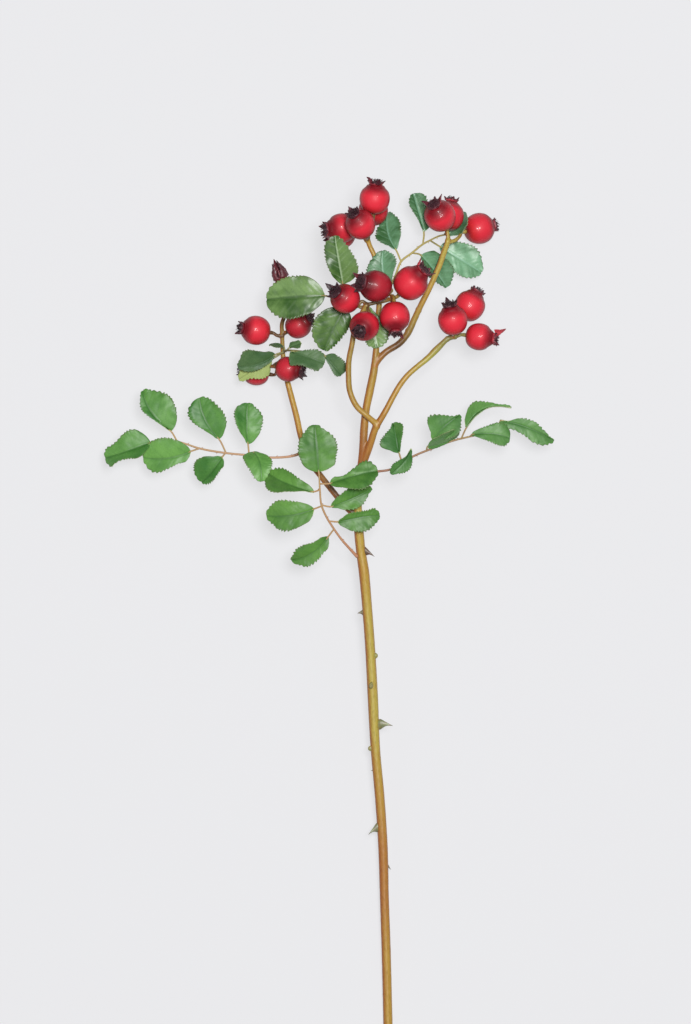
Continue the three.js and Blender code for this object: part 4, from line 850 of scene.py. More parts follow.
def hip_skin(name, colours, wine):
    """Rose hip skin, ripened by frost: a tight fleshy wall under a thin clear wax. The wax gives a soft wide
    shine with a small crisp one on it, broken by ripples 1.8 mm apart. The red deepens to wine round the
    calyx, and painted shade turns it to wine below the top of the hip, most underneath. It varies over
    8 mm, its pores are 1.6 mm apart and its grain is 0.7 mm."""
    material, tree = new_material(name)
    place = place_in(tree)
    ripe = add(tree, "ShaderNodeAttribute", {"attribute_name": "ripe"})
    lumps = add(tree, "ShaderNodeTexNoise", None, {"Vector": place, "Scale": 130.0, "Detail": 3.0})
    pores = add(tree, "ShaderNodeTexVoronoi", None, {"Vector": place, "Scale": 620.0, "Randomness": 1.0})
    uneven = add(tree, "ShaderNodeMath", {"operation": "MULTIPLY_ADD"},
                 {0: lumps.outputs["Fac"], 1: 0.16, 2: ripe.outputs["Fac"]})
    red_codes = (colours.hip_stalk_end, colours.hip_skin, colours.hip_calyx_end)
    wine_codes = (colours.wine_light, colours.wine_skin, colours.wine_deep)
    tones = []
    for red_code, wine_code in zip(red_codes, wine_codes):
        tones.append(tuple(np.array(linear(red_code)) * (1 - wine) + np.array(linear(wine_code)) * wine))
    at_stalk, on_wall, at_calyx = tones
    skin = add(tree, "ShaderNodeValToRGB", {"stops": [
        (0.05, at_calyx), (0.2, at_stalk), (0.4, on_wall), (0.74, on_wall), (1.0, at_calyx)]},
        {"Fac": uneven.outputs["Value"]})
    pale = add(tree, "ShaderNodeMapRange", None,
               {"Value": pores.outputs["Distance"], "From Min": 0.14, "From Max": 0.06, "To Max": 0.28})
    # Painted shade: low on the hip and on its flanks the red is mixed towards the dark wine of the calyx end
    shade = add(tree, "ShaderNodeAttribute", {"attribute_name": "shade"})
    shaded = add(tree, "ShaderNodeMath", {"operation": "MULTIPLY"}, {0: shade.outputs["Fac"], 1: 0.95})
    painted_shade_skin = add(tree, "ShaderNodeMix", {"data_type": "RGBA"},
                 {0: shaded.outputs["Value"], 6: skin.outputs["Color"], 7: at_calyx})
    dotted = add(tree, "ShaderNodeMix", {"data_type": "RGBA"},
                 {0: pale.outputs["Result"], 6: painted_shade_skin.outputs[2], 7: linear(colours.hip_pore)})
    grain = add(tree, "ShaderNodeTexNoise", None, {"Vector": place, "Scale": 1500.0, "Detail": 2.0})
    wax = add(tree, "ShaderNodeTexNoise", None, {"Vector": place, "Scale": 560.0, "Detail": 1.5})
    ripple = add(tree, "ShaderNodeBump", None,
                 {"Strength": 0.9, "Distance": 0.3 * MM, "Height": wax.outputs["Fac"]})
    bump = add(tree, "ShaderNodeBump", None,
               {"Strength": 0.25, "Distance": 0.05 * MM, "Height": grain.outputs["Fac"]})
    shader = add(tree, "ShaderNodeBsdfPrincipled", None,
                 {"Base Color": dotted.outputs[2], "Roughness": 0.48, "IOR": 1.4, "Specular IOR Level": 0.4,
                  "Coat Weight": 0.2, "Coat Roughness": 0.1, "Coat IOR": 1.35,
                  "Normal": bump.outputs["Normal"], "Coat Normal": ripple.outputs["Normal"]})
    finish_material(tree, shader)
    return material


def withered_sepal(colours):
    """Dried calyx: sepals and stamens withered on the hip, thin and leathery, wine-brown with redder bases,
    with a dull shine on their shrivelled ridges, 1.4 mm apart."""
    material, tree = new_material("withered_sepal")
    place = place_in(tree)
    red = add(tree, "ShaderNodeAttribute", {"attribute_name": "red"})
    shrivel = add(tree, "ShaderNodeTexNoise", None, {"Vector": place, "Scale": 700.0, "Detail": 4.0})
    mixed = add(tree, "ShaderNodeMath", {"operation": "MULTIPLY_ADD"},
                {0: shrivel.outputs["Fac"], 1: 0.4, 2: red.outputs["Fac"]})
    dried = add(tree, "ShaderNodeValToRGB", {"stops": [
        (0.12, linear(colours.sepal_dark)), (0.42, linear(colours.sepal_brown)),
        (0.8, linear(colours.sepal_wine)), (1.0, linear(colours.sepal_red))]},
        {"Fac": mixed.outputs["Value"]})
    bump = add(tree, "ShaderNodeBump", None,
               {"Strength": 0.8, "Distance": 0.2 * MM, "Height": shrivel.outputs["Fac"]})
    shader = add(tree, "ShaderNodeBsdfPrincipled", None,
                 {"Base Color": dried.outputs["Color"], "Roughness": 0.48, "Normal": bump.outputs["Normal"]})
    finish_material(tree, shader)
    return material


def leaf_tissue(name, look):
    """Living rose leaf: a thin blade under a clear cuticle. The upper face is deep green and waxy, with paler
    clouds 12 mm across, painted light where the blade leans one way and painted shade where it leans the
    other, and a net of cells of 1.1 mm, coarser than the real one so that it shows. Its veins are fine and
    sunken, on some leaflets with a painted highlight that makes them pale, and the under face is matt and
    grey-green."""
    upper, light, veins, under, _, gloss = look
    material, tree = new_material(name)
    place = place_in(tree)
    vein = add(tree, "ShaderNodeAttribute", {"attribute_name": "vein"})
    face = add(tree, "ShaderNodeAttribute", {"attribute_name": "under"})
    cast = add(tree, "ShaderNodeAttribute", {"attribute_name": "cast"})
    edge = add(tree, "ShaderNodeAttribute", {"attribute_name": "edge"})
    cloud = add(tree, "ShaderNodeTexNoise", None,
                {"Vector": place, "Scale": 85.0, "Detail": 5.0, "Roughness": 0.55})
    cells = add(tree, "ShaderNodeTexVoronoi", {"feature": "DISTANCE_TO_EDGE"},
                {"Vector": place, "Scale": 900.0})
    spread = add(tree, "ShaderNodeMapRange", None,
                 {"Value": cloud.outputs["Fac"], "From Min": 0.36, "From Max": 0.66})
    lit = add(tree, "ShaderNodeAttribute", {"attribute_name": "lit"})
    # The leaflet's cast plus painted light and shade from how the blade leans
    half = add(tree, "ShaderNodeMath", {"operation": "MULTIPLY_ADD"},
               {0: lit.outputs["Fac"], 1: 0.12 + 0.3 * gloss, 2: cast.outputs["Fac"]})
    share = add(tree, "ShaderNodeMath", {"operation": "MULTIPLY_ADD", "use_clamp": True},
                {0: spread.outputs["Result"], 1: 0.5, 2: half.outputs["Value"]})
    green = add(tree, "ShaderNodeMix", {"data_type": "RGBA"},
                {0: share.outputs["Value"], 6: linear(upper), 7: linear(light)})
    net = add(tree, "ShaderNodeMapRange", None,
              {"Value": cells.outputs["Distance"], "From Min": 0.1, "From Max": 0.0, "To Max": 0.16})
    netted = add(tree, "ShaderNodeMix", {"data_type": "RGBA", "blend_type": "MULTIPLY"},
                 {0: net.outputs["Result"], 6: green.outputs[2], 7: linear("#6C8C50")})
    shown = add(tree, "ShaderNodeMath", {"operation": "MULTIPLY"}, {0: vein.outputs["Fac"], 1: 0.75})
    # Painted highlight: on the listed leaflets the veins and midrib take a pale colour
    pale_rib = add(tree, "ShaderNodeAttribute", {"attribute_name": "pale_rib"})
    ribs = add(tree, "ShaderNodeMix", {"data_type": "RGBA"},
               {0: pale_rib.outputs["Fac"], 6: linear(veins), 7: linear("#B6CCA6")})
    veined = add(tree, "ShaderNodeMix", {"data_type": "RGBA"},
                 {0: shown.outputs["Value"], 6: netted.outputs[2], 7: ribs.outputs[2]})
    rimmed = add(tree, "ShaderNodeMix", {"data_type": "RGBA"},
                 {0: edge.outputs["Fac"], 6: veined.outputs[2], 7: linear("#5E6440")})
    turned = add(tree, "ShaderNodeMix", {"data_type": "RGBA"},
                 {0: face.outputs["Fac"], 6: rimmed.outputs[2], 7: linear(under)})
    matt = add(tree, "ShaderNodeMapRange", None,
               {"Value": face.outputs["Fac"], "To Min": 0.56 - 0.16 * gloss, "To Max": 0.75})
    bump = add(tree, "ShaderNodeBump", None,
               {"Strength": 0.25, "Distance": 0.05 * MM, "Height": cells.outputs["Distance"]})
    shader = add(tree, "ShaderNodeBsdfPrincipled", None,
                 {"Base Color": turned.outputs[2], "Roughness": matt.outputs["Result"], "IOR": 1.45,
                  "Coat Weight": 0.4 * gloss, "Coat Roughness": 0.36, "Normal": bump.outputs["Normal"]})
    finish_material(tree, shader)
    return material


def leaf_stalk_skin(name, code):
    """Leaf stalk: soft and green, flushed by the sun, smooth and faintly shiny, with blotches of 2.4 mm."""
    material, tree = new_material(name)
    place = place_in(tree)
    cast = add(tree, "ShaderNodeAttribute", {"attribute_name": "cast"})
    cloud = add(tree, "ShaderNodeTexNoise", None, {"Vector": place, "Scale": 420.0, "Detail": 3.0})
    share = add(tree, "ShaderNodeMath", {"operation": "MULTIPLY_ADD"},
                {0: cloud.outputs["Fac"], 1: 0.5, 2: cast.outputs["Fac"]})
    flushed = add(tree, "ShaderNodeMix", {"data_type": "RGBA"},
                  {0: share.outputs["Value"], 6: linear(code), 7: linear("#A8A060")})
    bump = add(tree, "ShaderNodeBump", None,
               {"Strength": 0.3, "Distance": 0.05 * MM, "Height": cloud.outputs["Fac"]})
    shader = add(tree, "ShaderNodeBsdfPrincipled", None,
                 {"Base Color": flushed.outputs[2], "Roughness": 0.5, "Normal": bump.outputs["Normal"]})
    finish_material(tree, shader)
    return material


def lit_board(code, glow):
    """Opal acrylic board, cast and sanded matt, lit softly from below: an even pale ground with faint shadows
    and a hardly visible unevenness of 17 mm."""
    material, tree = new_material("opal_acrylic")
    place = place_in(tree)
    stipple = add(tree, "ShaderNodeTexNoise", None, {"Vector": place, "Scale": 60.0, "Detail": 2.0})
    even = add(tree, "ShaderNodeMix", {"data_type": "RGBA", "blend_type": "SOFT_LIGHT"},
               {0: 0.02, 6: linear(code), 7: stipple.outputs["Color"]})
    shader = add(tree, "ShaderNodeBsdfPrincipled", None,
                 {"Base Color": even.outputs[2], "Roughness": 0.9, "Specular IOR Level": 0.2,
                  "Emission Color": linear("#F4F4F6"), "Emission Strength": glow})
    finish_material(tree, shader)
    return material


# The wood

def hip_end(hip, reach):
    """A point on a hip's axis, reach before its stalk end."""
    return np.array(hip["at"]) - unit(hip["facing"]) * (hip["radius"] * HIP_BASE + reach)


def hip_stalk(hip):
    """Stations of a hip's stalk, which runs into the dimple and closes the gap that the solids leave."""
    way = [[*place, STALK_START_RADIUS] for place in hip["stalk"]]
    way[-1][3] = STALK_RADIUS
    way.append([*hip_end(hip, JOINT_GAP + STALK_STRAIGHT), STALK_RADIUS])
    way.append([*hip_end(hip, JOINT_GAP), STALK_END_RADIUS])
    way.append([*hip_end(hip, -STALK_SUNK * hip["radius"]), STALK_END_RADIUS])
    return way


def wood_ways(colours):
    """Every branch and stalk of the wood with its bark colours."""
    bark = {part: [getattr(colours, f"bark_{tone}") for tone in tones] for part, tones in BARK.items()}
    ways = [
        (MAIN_STEM, bark["main"]), (LEFT_BRANCH, bark["left"]), (FORKED_BRANCH, bark["forked"]),
        (MIDDLE_BRANCH, bark["middle"]), (RIGHT_BRANCH, bark["right"]), (OUTER_BRANCH, bark["outer"]),
    ]
    for name, hip in HIPS.items():
        cluster = name.split("_")[0]
        ways.append((hip_stalk(hip), bark["top" if cluster == "top" else f"stalk_{cluster}"]))
    return ways


def knuckle_mesh(knuckle):
    """A rounded swelling round the wood."""
    x, y, z, radius = knuckle
    half_length = radius * 1.15
    tilt = np.linspace(-math.pi / 2, math.pi / 2, 13)
    still = 0 * tilt
    along = y + half_length * np.sin(tilt)
    way = np.stack([x + still, along, z + still, radius * np.cos(tilt) + 0.02], axis=1)
    return tube_mesh(way, 16)


def wood_solids(colours):
    """Tubes of all the wood. Also the middle points of its ways, and at each the bark's colour and grain."""
    meshes, spine, tones, grains = [], [], [], []
    for stations, codes in wood_ways(colours):
        way = smooth_way(stations, WOOD_STEP)
        thick = way.copy()
        thick[:, 3] += np.interp(way[:, 3], [0.7, 1.6], [0.16, 0.05])
        meshes.append(tube_mesh(thick, WOOD_SIDES))
        along, normals, across = ring_frames(way[:, :3])
        length = np.concatenate([[0], np.cumsum(np.linalg.norm(np.diff(way[:, :3], axis=0), axis=1))])
        spine.append(way[:, :3])
        tones.append(colour_way(codes, len(way)))
        grains.append(np.concatenate([along, normals, across, length[:, None]], axis=1))
    meshes.extend(knuckle_mesh(knuckle) for knuckle in KNUCKLES)
    return meshes, np.concatenate(spine), np.concatenate(tones), np.concatenate(grains)


def remeshed(points, faces, voxel, smoothing):
    """Fuses overlapping solids into one even skin and smooths it."""
    rough = bpy.data.meshes.new("rough_wood")
    rough.from_pydata(placed(points).tolist(), [], faces)
    holder = bpy.data.objects.new("rough_wood", rough)
    bpy.context.scene.collection.objects.link(holder)
    fused = holder.modifiers.new("fused", "REMESH")
    fused.mode = "VOXEL"
    fused.voxel_size = voxel
    soft = holder.modifiers.new("soft", "SMOOTH")
    soft.factor = 0.5
    soft.iterations = smoothing
    bpy.context.view_layer.update()
    seen = holder.evaluated_get(bpy.context.evaluated_depsgraph_get())
    mesh = bpy.data.meshes.new_from_object(seen)
    bpy.data.objects.remove(holder)
    return mesh


def mesh_places(mesh):
    """A mesh's points in table millimetres."""
    places = np.zeros(len(mesh.vertices) * 3, np.float32)
    mesh.vertices.foreach_get("co", places)
    return places.reshape(-1, 3) / MM + MIDDLE


def mesh_normals(mesh):
    """Which way a mesh faces at each of its points."""
    normals = np.zeros(len(mesh.vertices) * 3, np.float32)
    mesh.vertices.foreach_get("normal", normals)
    return normals.reshape(-1, 3)


def nearest_of(places, spine):
    """For each place, the number of the spine's nearest point."""
    tree = kdtree.KDTree(len(spine))
    for i, point in enumerate(spine):
        tree.insert(point, i)
    tree.balance()
    return np.array([tree.find(place)[1] for place in places])


def grain_places(offset, grain):
    """Places in the bark's grain: two across the wood and one along it."""
    return np.stack([
        (offset * grain[:, 3:6]).sum(axis=1),
        (offset * grain[:, 6:9]).sum(axis=1),
        ((offset * grain[:, 0:3]).sum(axis=1) + grain[:, 9]) * GRAIN_STRETCH,
    ], axis=1)


def painted_flank_shade_share(facing):
    """Painted shade on the bark by the way it faces: most on the left, less underneath, least on the right.
    """
    side = np.interp(facing[:, 0], [-0.9, -0.2, 0.55, 0.95], [0.95, 0.1, 0.0, 0.4])
    low = np.interp(facing[:, 2], [-0.4, 0.2], [0.7, 0.0])
    return np.maximum(side, low)


class SPRIG_OT_stem(bpy.types.Operator):
    """Builds the stem with its branches and the hips' stalks as one skin of bark"""

    bl_idname = "sprig.stem"
    bl_label = "Stem"

    def execute(self, context):
        sizes, colours = context.scene.sprig_sizes, context.scene.sprig_colours
        meshes, spine, tones, grains = wood_solids(colours)
        points, faces, _ = joined(meshes)
        mesh = remeshed(points, faces, sizes.wood_voxel, WOOD_SMOOTHING)
        places = mesh_places(mesh)
        nearest = nearest_of(places, spine)
        local = grain_places(places - spine[nearest], grains[nearest])
        relief = np.array([noise.noise(Vector(place * (1.3, 1.3, 2.2))) for place in local])
        places = places + relief[:, None] * mesh_normals(mesh) * sizes.bark_relief / MM
        places[:, 2] = np.maximum(places[:, 2], 0.0)
        places[:, 1] = np.maximum(places[:, 1], 0.0)
        mesh.vertices.foreach_set("co", placed(places).astype(np.float32).ravel())
        mesh.update()
        # Painted shade: how far each point of the bark turns ruddy by the way it faces
        flank = painted_flank_shade_share(mesh_normals(mesh))
        set_values(mesh, {"bark": tones[nearest], "grain": local, "flank": flank})
        dress("stem_wood", mesh, rose_bark(colours), ["stem"])
        return {"FINISHED"}


def prickle_mesh(prickle, ruddy, blunt):
    """A hooked prickle with a long narrow root along the wood, or a blunt bud in its place."""
    root, tip, half = (np.array(prickle[key], float) for key in ("root", "tip", "half"))
    wood = unit([-0.05, 1, 0.1])
    across = unit(np.cross(tip - root, wood))
    share = np.linspace(0, 1, 22)
    hooked = np.interp(share, [0, 0.34, 0.46, 0.6, 0.78, 0.92, 1], [1.05, 0.98, 0.74, 0.44, 0.22, 0.09, 0.02])
    rounded = np.sqrt(np.clip(1 - share**2.6, 0.0004, 1)) * 0.8
    size = (hooked * (1 - blunt) + rounded * blunt) * half
    lean = half * 0.42 * np.sin(math.pi * share) * (1 - blunt)
    centres = root + (tip - root) * share[:, None] + wood * lean[:, None]
    angles = 2 * math.pi * np.arange(18) / 18
    narrow = np.interp(share, [0, 0.4, 1], [0.42, 0.46, 0.8])
    rings = (
        centres[:, None]
        + wood * (size[:, None] * np.cos(angles))[:, :, None]
        - across * (size[:, None] * narrow[:, None] * np.sin(angles))[:, :, None]
    )
    rings[:, :, 2] = np.maximum(rings[:, :, 2], 0.05)
    count = len(share)
    return rings_mesh(rings, {"reach": share, "ruddy": np.full(count, ruddy), "bud": np.full(count, blunt)})


class SPRIG_OT_prickles(bpy.types.Operator):
    """Builds the hooked prickles of the stem, its buds and its scars"""

    bl_idname = "sprig.prickles"
    bl_label = "Prickles"

    def execute(self, context):
        meshes = [prickle_mesh(prickle, *look) for prickle, look in zip(PRICKLES, PRICKLE_LOOKS)]
        horn = prickle_horn(context.scene.sprig_colours)
        make_piece("stem_prickles", joined(meshes), horn, ["stem"])
        return {"FINISHED"}


class SPRIG_OT_cut_face(bpy.types.Operator):
    """Builds the cut end of the stem: bark, pale wood and pith"""

    bl_idname = "sprig.cut_face"
    bl_label = "Cut face"

    def execute(self, context):
        x, y, z, radius = MAIN_STEM[0]
        out = np.linspace(0.0, 1.0, 15)[1:]
        angles = 2 * math.pi * np.arange(48) / 48
        draw = random.Random(SEED)
        rings = []
        for share in np.concatenate([out, out[::-1]]):
            front = len(rings) < len(out)
            wave = np.array([draw.uniform(-0.03, 0.03) for _ in angles])
            depth = y - 0.06 + wave + 0.05 * share if front else y + 0.9 + 0 * angles
            across = x + radius * 0.96 * share * np.cos(angles)
            height = np.maximum(z + radius * 0.96 * share * np.sin(angles), 0.1)
            rings.append(np.stack([across, depth, height], axis=1))
        values = {"out": np.concatenate([out, out[::-1]])}
        make_piece("cut_face", rings_mesh(np.array(rings), values), cut_wood(), ["stem"])
        return {"FINISHED"}


# Hips

def turned(points, axis, place):
    """Points made about +Y, turned so that +Y lies along the axis, and put in place."""
    turn = np.array(Vector((0, 1, 0)).rotation_difference(Vector(axis)).to_matrix())
    return points @ turn.T + place


def hip_swell(angle, along, neck, shift):
    """How far a hip's wall swells at a place on it: broad lumps, five faint ribs and a puckered neck."""
    out, back = math.sin(angle), math.cos(angle)
    lumps = noise.noise(Vector(shift + (out * 0.9, along * 0.9, back * 0.9)))
    folds = noise.noise(Vector(shift + (out * 2.4, along * 1.2, back * 2.4)))
    in_neck = float(np.clip((along - 0.72) / 0.2, 0, 1))
    return (1 + 0.022 * lumps + 0.004 * math.cos(5 * angle + shift[0]) * max(along, 0)
            + 0.06 * min(1, neck * 12) * in_neck * folds)


def hip_mesh(name, hip):
    """A hip: rounded wall, a dimple at the stalk and a short neck under the calyx."""
    radius, neck, mouth = hip["radius"], hip["neck"], hip.get("mouth", MOUTH_RADIUS)
    top = HIP_TOP + neck
    outline = [
        [0.02, -0.885, 0], [0.1, -0.9, 0], [0.24, -0.925, 0], [0.45, -0.885, 0], [0.68, -0.74, 0],
        [0.86, -0.51, 0], [0.96, -0.25, 0], [0.995, 0.06, 0], [0.95, 0.36, 0], [0.84, 0.6, 0],
        [max(0.66, mouth + 0.22), 0.78, 0], [mouth + 0.12, 0.93, 0], [mouth + 0.03, top, 0],
        [mouth * 0.8, top + 0.01, 0], [0.02, top, 0],
    ]
    profile = smooth_way(outline, 0.045)
    draw = random.Random(f"{SEED} {name}")
    shift = np.array([draw.uniform(0, 50) for _ in range(3)])
    angles = 2 * math.pi * np.arange(HIP_COLUMNS) / HIP_COLUMNS
    rings, ripe = [], []
    for across, along, _ in profile:
        swell = [hip_swell(angle, along, neck, shift) for angle in angles]
        reach = across * radius * np.array(swell) * HIP_SHARE
        level = np.full(HIP_COLUMNS, along * radius)
        rings.append(np.stack([reach * np.sin(angles), level, reach * np.cos(angles)], axis=1))
        ripe.append((along + HIP_BASE) / (top + HIP_BASE))
    points, faces, values = rings_mesh(np.array(rings), {"ripe": ripe})
    points = turned(points, unit(hip["facing"]), hip["at"])
    out = (points - hip["at"]) / radius
    # Painted shade: the lower a point lies on the hip, under the edge height, the darker its red
    values["shade"] = np.clip((HIP_PAINTED_SHADE_EDGE - out[:, 2]) / HIP_PAINTED_SHADE_EDGE, 0, 1) ** 1.3
    points[:, 2] = np.maximum(points[:, 2], 0.0)
    return points, faces, values


class SPRIG_OT_hips(bpy.types.Operator):
    """Builds the ripe hips"""

    bl_idname = "sprig.hips"
    bl_label = "Hips"

    def execute(self, context):
        skins = {}
        for name, hip in HIPS.items():
            wine = HIP_LOOKS[name][0]
            if wine not in skins:
                skins[wine] = hip_skin(f"hip_skin_{round(wine * 100)}", context.scene.sprig_colours, wine)
            make_piece(f"skin_{name}", hip_mesh(name, hip), skins[wine], [f"hip_{name}"])
        return {"FINISHED"}


# Dried calyxes

def ribbon_mesh(centres, sides, faces_up, widths, thickness, values):
    """A thin closed ribbon: a row of points across at each centre, on both faces."""
    columns = 5
    across = np.linspace(-1, 1, columns)
    crown = (1 - across**2) * 0.9
    rings = []
    for centre, side, up, width in zip(centres, sides, faces_up, widths):
        middle = centre + side * (across * width)[:, None]
        top = middle + up * (crown * width * 0.5 + thickness / 2)[:, None]
        low = middle + up * (crown * width * 0.5 - thickness / 2)[:, None]
        rings.append(np.concatenate([top, low[::-1]]))
    return rings_mesh(np.array(rings), values)


def sepal_mesh(angle, rim, length, spread, width, red, draw, foot, closing=False):
    """A withered sepal or tatter: drawn up from the rim, leaning out or closing in, curled and ragged."""
    out = np.array([math.sin(angle), 0, math.cos(angle)])
    side = np.array([math.cos(angle), 0, -math.sin(angle)])
    up = np.array([0.0, 1.0, 0.0])
    count = 12
    share = np.linspace(0, 1, count)
    bends = [0.5, -0.7, -1.15] if closing else [0.6, 0.95, 1.3]
    taper = [0.95, 0.72, 0.4, 0.05] if closing else [1, 0.86, 0.5, 0.05]
    lean = np.radians((spread + draw.uniform(-6, 6)) * np.interp(share, [0, 0.5, 1], bends))
    twist = draw.uniform(-0.5, 0.5)
    rolled = SEPAL_ROLL if length > LONG_SEPAL and not closing else 0.0
    step = length / (count - 1)
    centre = out * rim * 0.96 + up * foot
    centres, sides, faces_up, widths = [], [], [], []
    for s, tilt in zip(share, lean):
        centres.append(centre.copy())
        direction = out * math.sin(tilt) + up * math.cos(tilt)
        face = unit(np.cross(side, direction))
        turn = twist * s + rolled
        sides.append(side * math.cos(turn) + face * math.sin(turn))
        faces_up.append(face * math.cos(turn) - side * math.sin(turn))
        ragged = draw.uniform(-0.16, 0.16) * width * (s > 0.15) * (2 if closing else 1)
        widths.append(max(0.05, width * float(np.interp(s, [0, 0.25, 0.6, 1], taper)) + ragged * (1 - s)))
        centre = centre + direction * step + side * draw.uniform(-0.05, 0.05)
    fading = {"red": np.full(count, red) * (1 - 0.4 * share)}
    return ribbon_mesh(centres, sides, faces_up, widths, SEPAL_THICKNESS, fading)


def cup_mesh(rim, first, red, draw):
    """The calyx's cup: it sits in the hip's mouth, and its wavy rim closes over the old flower's disc."""
    angles = 2 * math.pi * np.arange(36) / 36
    cup = []
    cup_lines = [(0.86, -0.6), (1.04, 0.1), (1.12, 0.6), (1.1, 1.05), (0.95, 1.2), (0.78, 1.0), (0.6, 1.05),
                 (0.4, 1.35), (0.2, 1.55), (0.05, 1.6)]
    for across, along in cup_lines:
        wave = 1 + 0.05 * np.sin(5 * angles + math.radians(first) * 5)
        ragged = np.array([draw.uniform(-0.12, 0.12) for _ in angles]) * (along > 0.5)
        cup.append(np.stack([rim * across * wave * np.sin(angles), along + ragged,
                             rim * across * wave * np.cos(angles)], axis=1))
    cup_red = np.interp(np.arange(len(cup)), [0, 2, 3, 9], [0.9, 0.65, 0.3, 0.1]) * (0.55 + red)
    return rings_mesh(np.array(cup), {"red": cup_red})


def stamen_mesh(rim, red, draw):
    """An old stamen: a curled thread with its dried anther near the tip."""
    angle, out = draw.uniform(0, 2 * math.pi), rim * draw.uniform(0.15, 0.82)
    lean, height = draw.uniform(-0.4, 0.7), draw.uniform(0.9, 1.9)
    flat = np.array([math.sin(angle), 0, math.cos(angle)])
    share = np.linspace(0, 1, 5)[:, None]
    curl = np.array([draw.uniform(-0.5, 0.5), 0, draw.uniform(-0.5, 0.5)])
    line = flat * out + np.array([0, 1.0, 0]) + share * (flat * lean + [0, height, 0]) + share**2 * curl
    way = np.concatenate([line, np.array([[0.13], [0.1], [0.09], [0.16], [0.07]])], axis=1)
    return tube_mesh(way, 5, {"red": np.full(5, red * 0.35)})


def calyx_mesh(name, hip):
    """A dried calyx: a cup on the hip's mouth, five sepals and their tatters, and a tuft of old stamens."""
    crown = hip["crown"]
    rim = hip["radius"] * hip.get("mouth", MOUTH_RADIUS)
    red = HIP_LOOKS[name][1]
    draw = random.Random(f"{SEED} calyx {name}")
    parts = [cup_mesh(rim, crown["first"], red, draw)]
    closing = min(crown["sepals"]) > CLOSED_SEPAL
    gain = CLOSED_GAIN if closing else 1.0
    for i in range(5):
        angle = math.radians(crown["first"] + 72 * i + draw.uniform(-14, 14) + CROWN_TURNS.get(name, 0))
        spread = crown["spread"] + draw.uniform(-8, 8)
        long_red = min(1.0, red * (1.4 if crown["sepals"][i] == max(crown["sepals"]) else 0.7))
        length = (crown["sepals"][i] * draw.uniform(0.98, 1.06) + 0.55) * gain
        width = 0.75 + 0.2 * length + draw.uniform(-0.1, 0.25)
        tone = long_red + draw.uniform(0, 0.25)
        parts.append(sepal_mesh(angle, rim, length, spread, width, tone, draw, SEPAL_FOOT, closing))
        for _ in range(draw.choice([1, 2, 2])):
            aside = angle + math.radians(draw.uniform(-45, 45))
            length = draw.uniform(0.6, 1.9)
            lean = spread + draw.uniform(-35, 20)
            width = draw.uniform(0.3, 0.8)
            tone = red * 0.5 + draw.uniform(0, 0.3)
            parts.append(sepal_mesh(aside, rim, length, lean, width, tone, draw, TATTER_FOOT))
    for _ in range(CLOSED_TATTERS if closing else 0):
        angle = draw.uniform(0, 2 * math.pi)
        length = draw.uniform(3.5, 8.5)
        lean = crown["spread"] * draw.uniform(-0.4, 1.2)
        width = draw.uniform(0.4, 0.9)
        tone = red + draw.uniform(0, 0.5)
        parts.append(sepal_mesh(angle, rim * 0.8, length, lean, width, tone, draw, TATTER_FOOT, True))
    parts.extend(stamen_mesh(rim, red, draw) for _ in range(STAMENS))
    points, faces, values = joined(parts)
    axis = unit(hip["facing"])
    foot = np.array(hip["at"]) + axis * ((HIP_TOP + hip["neck"]) * hip["radius"] + JOINT_GAP)
    points = turned(points, axis, foot)
    points[:, 2] = np.maximum(points[:, 2], 0.3)
    return points, faces, values


class SPRIG_OT_calyxes(bpy.types.Operator):
    """Builds the dried calyxes"""

    bl_idname = "sprig.calyxes"
    bl_label = "Dried calyxes"

    def execute(self, context):
        tissue = withered_sepal(context.scene.sprig_colours)
        for name, hip in HIPS.items():
            make_piece(f"crown_{name}", calyx_mesh(name, hip), tissue, [f"calyx_{name}"])
        return {"FINISHED"}


# Leaves

def blade_frame(leaflet):
    """The directions along a leaflet, out of its upper face and to its left."""
    along = unit(np.array(leaflet["tip"], float) - leaflet["base"])
    flat = unit(np.array([0.0, 0.0, 1.0]) - along * along[2])
    turn = math.radians(leaflet["turn"])
    face = unit(flat * math.cos(turn) + np.cross(along, flat) * math.sin(turn))
    return along, face, np.cross(face, along)


def blade_length(leaflet):
    """A blade's length from its base to its tip."""
    return float(np.linalg.norm(np.array(leaflet["tip"], float) - leaflet["base"]))


def midrib_point(leaflet, share):
    """Points on a leaflet's midrib at shares of its length."""
    along, face, _ = blade_frame(leaflet)
    length = blade_length(leaflet)
    share = np.asarray(share, float)[..., None]
    lift = face * leaflet["arch"] * length * 4 * share * (1 - share)
    return np.array(leaflet["base"], float) + along * length * share + lift


def half_widths(widths, share):
    """Half widths at shares of the chord, through the four given ones, rounded off at both ends."""
    knots = np.arccos(1 - 2 * np.array(LEAFLET_PLACES))
    turn = np.arccos(1 - 2 * share)
    curve = np.polyfit(knots, np.array(widths) / np.sin(knots), 3)
    return np.polyval(curve, np.clip(turn, knots[0], knots[-1])) * np.sin(turn)


def saw_teeth(share, count, start, draw):
    """Depth of the notches along a margin, 0 at the teeth's tips: uneven teeth that lean to the tip."""
    places = np.cumsum([0.0] + [draw.uniform(0.6, 1.4) for _ in range(count)])
    places = places / places[-1]
    deep = np.array([draw.uniform(0.45, 1.15) for _ in range(count)])
    at = np.clip((share - start) / (1 - start), 0, 0.9999)
    tooth = np.searchsorted(places, at, side="right") - 1
    phase = (at - places[tooth]) / (places[tooth + 1] - places[tooth])
    notch = np.where(phase < 0.72, 1 - phase / 0.72, (phase - 0.72) / 0.28)
    return notch * deep[tooth] * np.clip((share - start) / 0.12, 0, 1)


